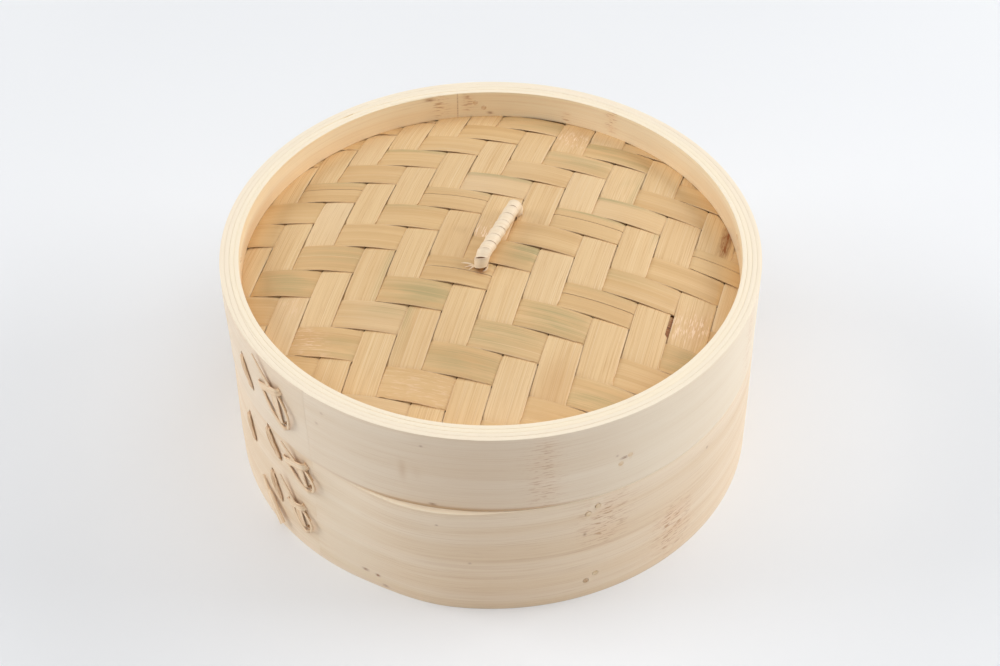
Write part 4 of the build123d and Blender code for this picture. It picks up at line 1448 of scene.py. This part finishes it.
class STEAMER_OT_lacing(bpy.types.Operator):
    """Sew the laps of the outer hoops with knots and stitches"""

    bl_idname = "steamer.lacing"
    bl_label = "Lacing"

    def execute(self, context):
        sizes = context.scene.steamer_lacing
        draw = random.Random(55)
        for row in LACING:
            strips = knot_strips(row, sizes, draw)
            for number, stitch in enumerate(row.stitches):
                strips += stitch_strips(row, stitch, sizes, draw, number == row.stick)
            piece = make_piece(row.node + "_strips", strips, bamboo("lacing_cane"))
            settle(piece, row.body, "lacing", row.node)
        return {"FINISHED"}


# Stage


# Lamps: the setting of their power, and their width and place in metres; all point at one place
LAMPS = {
    "overhead_lamp": ("overhead", 1.9, (0.0, -0.15, 1.7)),
    "front_lamp": ("front", 1.6, (0.0, -1.5, 1.6)),
    "right_lamp": ("right", 1.1, (1.75, 0.25, 0.85)),
    "left_lamp": ("left", 1.1, (-1.75, 0.15, 0.9)),
    "rear_lamp": ("behind", 1.2, (1.3, 1.2, 1.1)),
}
LAMP_TARGET = Vector((0.0, 0.0, 0.06))


class STEAMER_OT_stage(bpy.types.Operator):
    """Set the pale floor, the soft lamps and the camera"""

    bl_idname = "steamer.stage"
    bl_label = "Stage"

    def execute(self, context):
        settings = context.scene.steamer_stage
        self.floor(settings)
        self.world(context, settings)
        for name, (power, size, place) in LAMPS.items():
            self.lamp(name, getattr(settings, power), size, place)
        self.camera(context, settings)
        context.scene.view_settings.view_transform = "Standard"
        return {"FINISHED"}

    def floor(self, settings):
        """A large flat floor."""
        half = settings.floor_size / 2
        mesh = bpy.data.meshes.new("studio_floor")
        corners = [(-half, -half, 0.0), (half, -half, 0.0), (half, half, 0.0), (-half, half, 0.0)]
        mesh.from_pydata(corners, [], [(0, 1, 2, 3)])
        made = Finish("studio_floor")
        place = made.add("ShaderNodeTexCoord", {}).outputs["Object"]
        specks = made.add("ShaderNodeTexNoise", {"Vector": place, "Scale": 3.0, "Detail": 2.0}).outputs[0]
        darker = tuple(0.985 * c for c in linear(settings.floor)[:3]) + (1.0,)
        colour = made.mixed(made.mask(specks, 0.35, 0.65), linear(settings.floor), darker)
        mesh.materials.append(made.done(colour, 0.8, specks, bump=0.02, distance=0.1 * MM, specular=0.1))
        show(bpy.data.objects.new("studio_floor", mesh))

    def world(self, context, settings):
        """Even light from all round; what the camera sees of it is nearly white."""
        world = bpy.data.worlds.new("studio")
        context.scene.world = world
        world.use_nodes = True
        made = Nodes(world.node_tree)
        rays = made.add("ShaderNodeLightPath", {}).outputs
        shiny = made.math("MAXIMUM", rays["Is Glossy Ray"], rays["Is Transmission Ray"])
        seen = made.math("MAXIMUM", rays["Is Camera Ray"], shiny)
        even = made.add("ShaderNodeBackground", {"Strength": settings.sky})
        backdrop = made.add("ShaderNodeBackground", {"Color": linear(settings.floor), "Strength": 1.0})
        mix = made.add("ShaderNodeMixShader", {0: seen, 1: even.outputs[0], 2: backdrop.outputs[0]})
        made.add("ShaderNodeOutputWorld", {"Surface": mix.outputs[0]})

    def lamp(self, name, power, size, place):
        """A large soft lamp that points at the steamer."""
        light = bpy.data.lights.new(name, "AREA")
        light.shape = "SQUARE"
        light.size = size
        light.energy = power
        lamp = show(bpy.data.objects.new(name, light))
        lamp.location = place
        lamp.rotation_euler = (LAMP_TARGET - Vector(place)).to_track_quat("-Z", "Y").to_euler()

    def camera(self, context, settings):
        """The photograph's view."""
        data = bpy.data.cameras.new("camera")
        data.sensor_width = 36.0
        data.sensor_fit = "HORIZONTAL"
        data.lens = settings.lens
        camera = show(bpy.data.objects.new("camera", data))
        camera.location = settings.camera
        camera.rotation_euler = (pi / 2 - settings.elevation, 0.0, 0.0)
        context.scene.camera = camera


# Sidebar and registration


GROUPS = {
    "steamer_hoops": SteamerHoops,
    "steamer_mat": SteamerMat,
    "steamer_handle": SteamerHandle,
    "steamer_lacing": SteamerLacing,
    "steamer_floor": SteamerFloor,
    "steamer_colours": SteamerColours,
    "steamer_stage": SteamerStage,
}
OPERATORS = (
    STEAMER_OT_hoops,
    STEAMER_OT_pegs,
    STEAMER_OT_floor,
    STEAMER_OT_mat,
    STEAMER_OT_lining,
    STEAMER_OT_handle,
    STEAMER_OT_lacing,
    STEAMER_OT_stage,
)


class STEAMER_PT_sidebar(bpy.types.Panel):
    """Builds the steamer piece by piece"""

    bl_idname = "STEAMER_PT_sidebar"
    bl_label = "Bamboo Steamer"
    bl_space_type = "VIEW_3D"
    bl_region_type = "UI"
    bl_category = "Steamer"

    def draw(self, context):
        for operator in OPERATORS:
            self.layout.operator(operator.bl_idname)
        for group, kind in GROUPS.items():
            box = self.layout.box()
            box.label(text=kind.__doc__)
            for name in kind.__annotations__:
                box.prop(getattr(context.scene, group), name)


def register():
    for kind in (*GROUPS.values(), *OPERATORS, STEAMER_PT_sidebar):
        bpy.utils.register_class(kind)
    for group, kind in GROUPS.items():
        setattr(bpy.types.Scene, group, bpy.props.PointerProperty(type=kind))


def unregister():
    for group in GROUPS:
        delattr(bpy.types.Scene, group)
    for kind in reversed((*GROUPS.values(), *OPERATORS, STEAMER_PT_sidebar)):
        bpy.utils.unregister_class(kind)


def main():
    register()
    bpy.ops.steamer.hoops()
    bpy.ops.steamer.pegs()
    bpy.ops.steamer.floor()
    bpy.ops.steamer.mat()
    bpy.ops.steamer.lining()
    bpy.ops.steamer.handle()
    bpy.ops.steamer.lacing()
    bpy.ops.steamer.stage()


if __name__ == "__main__":
    main()
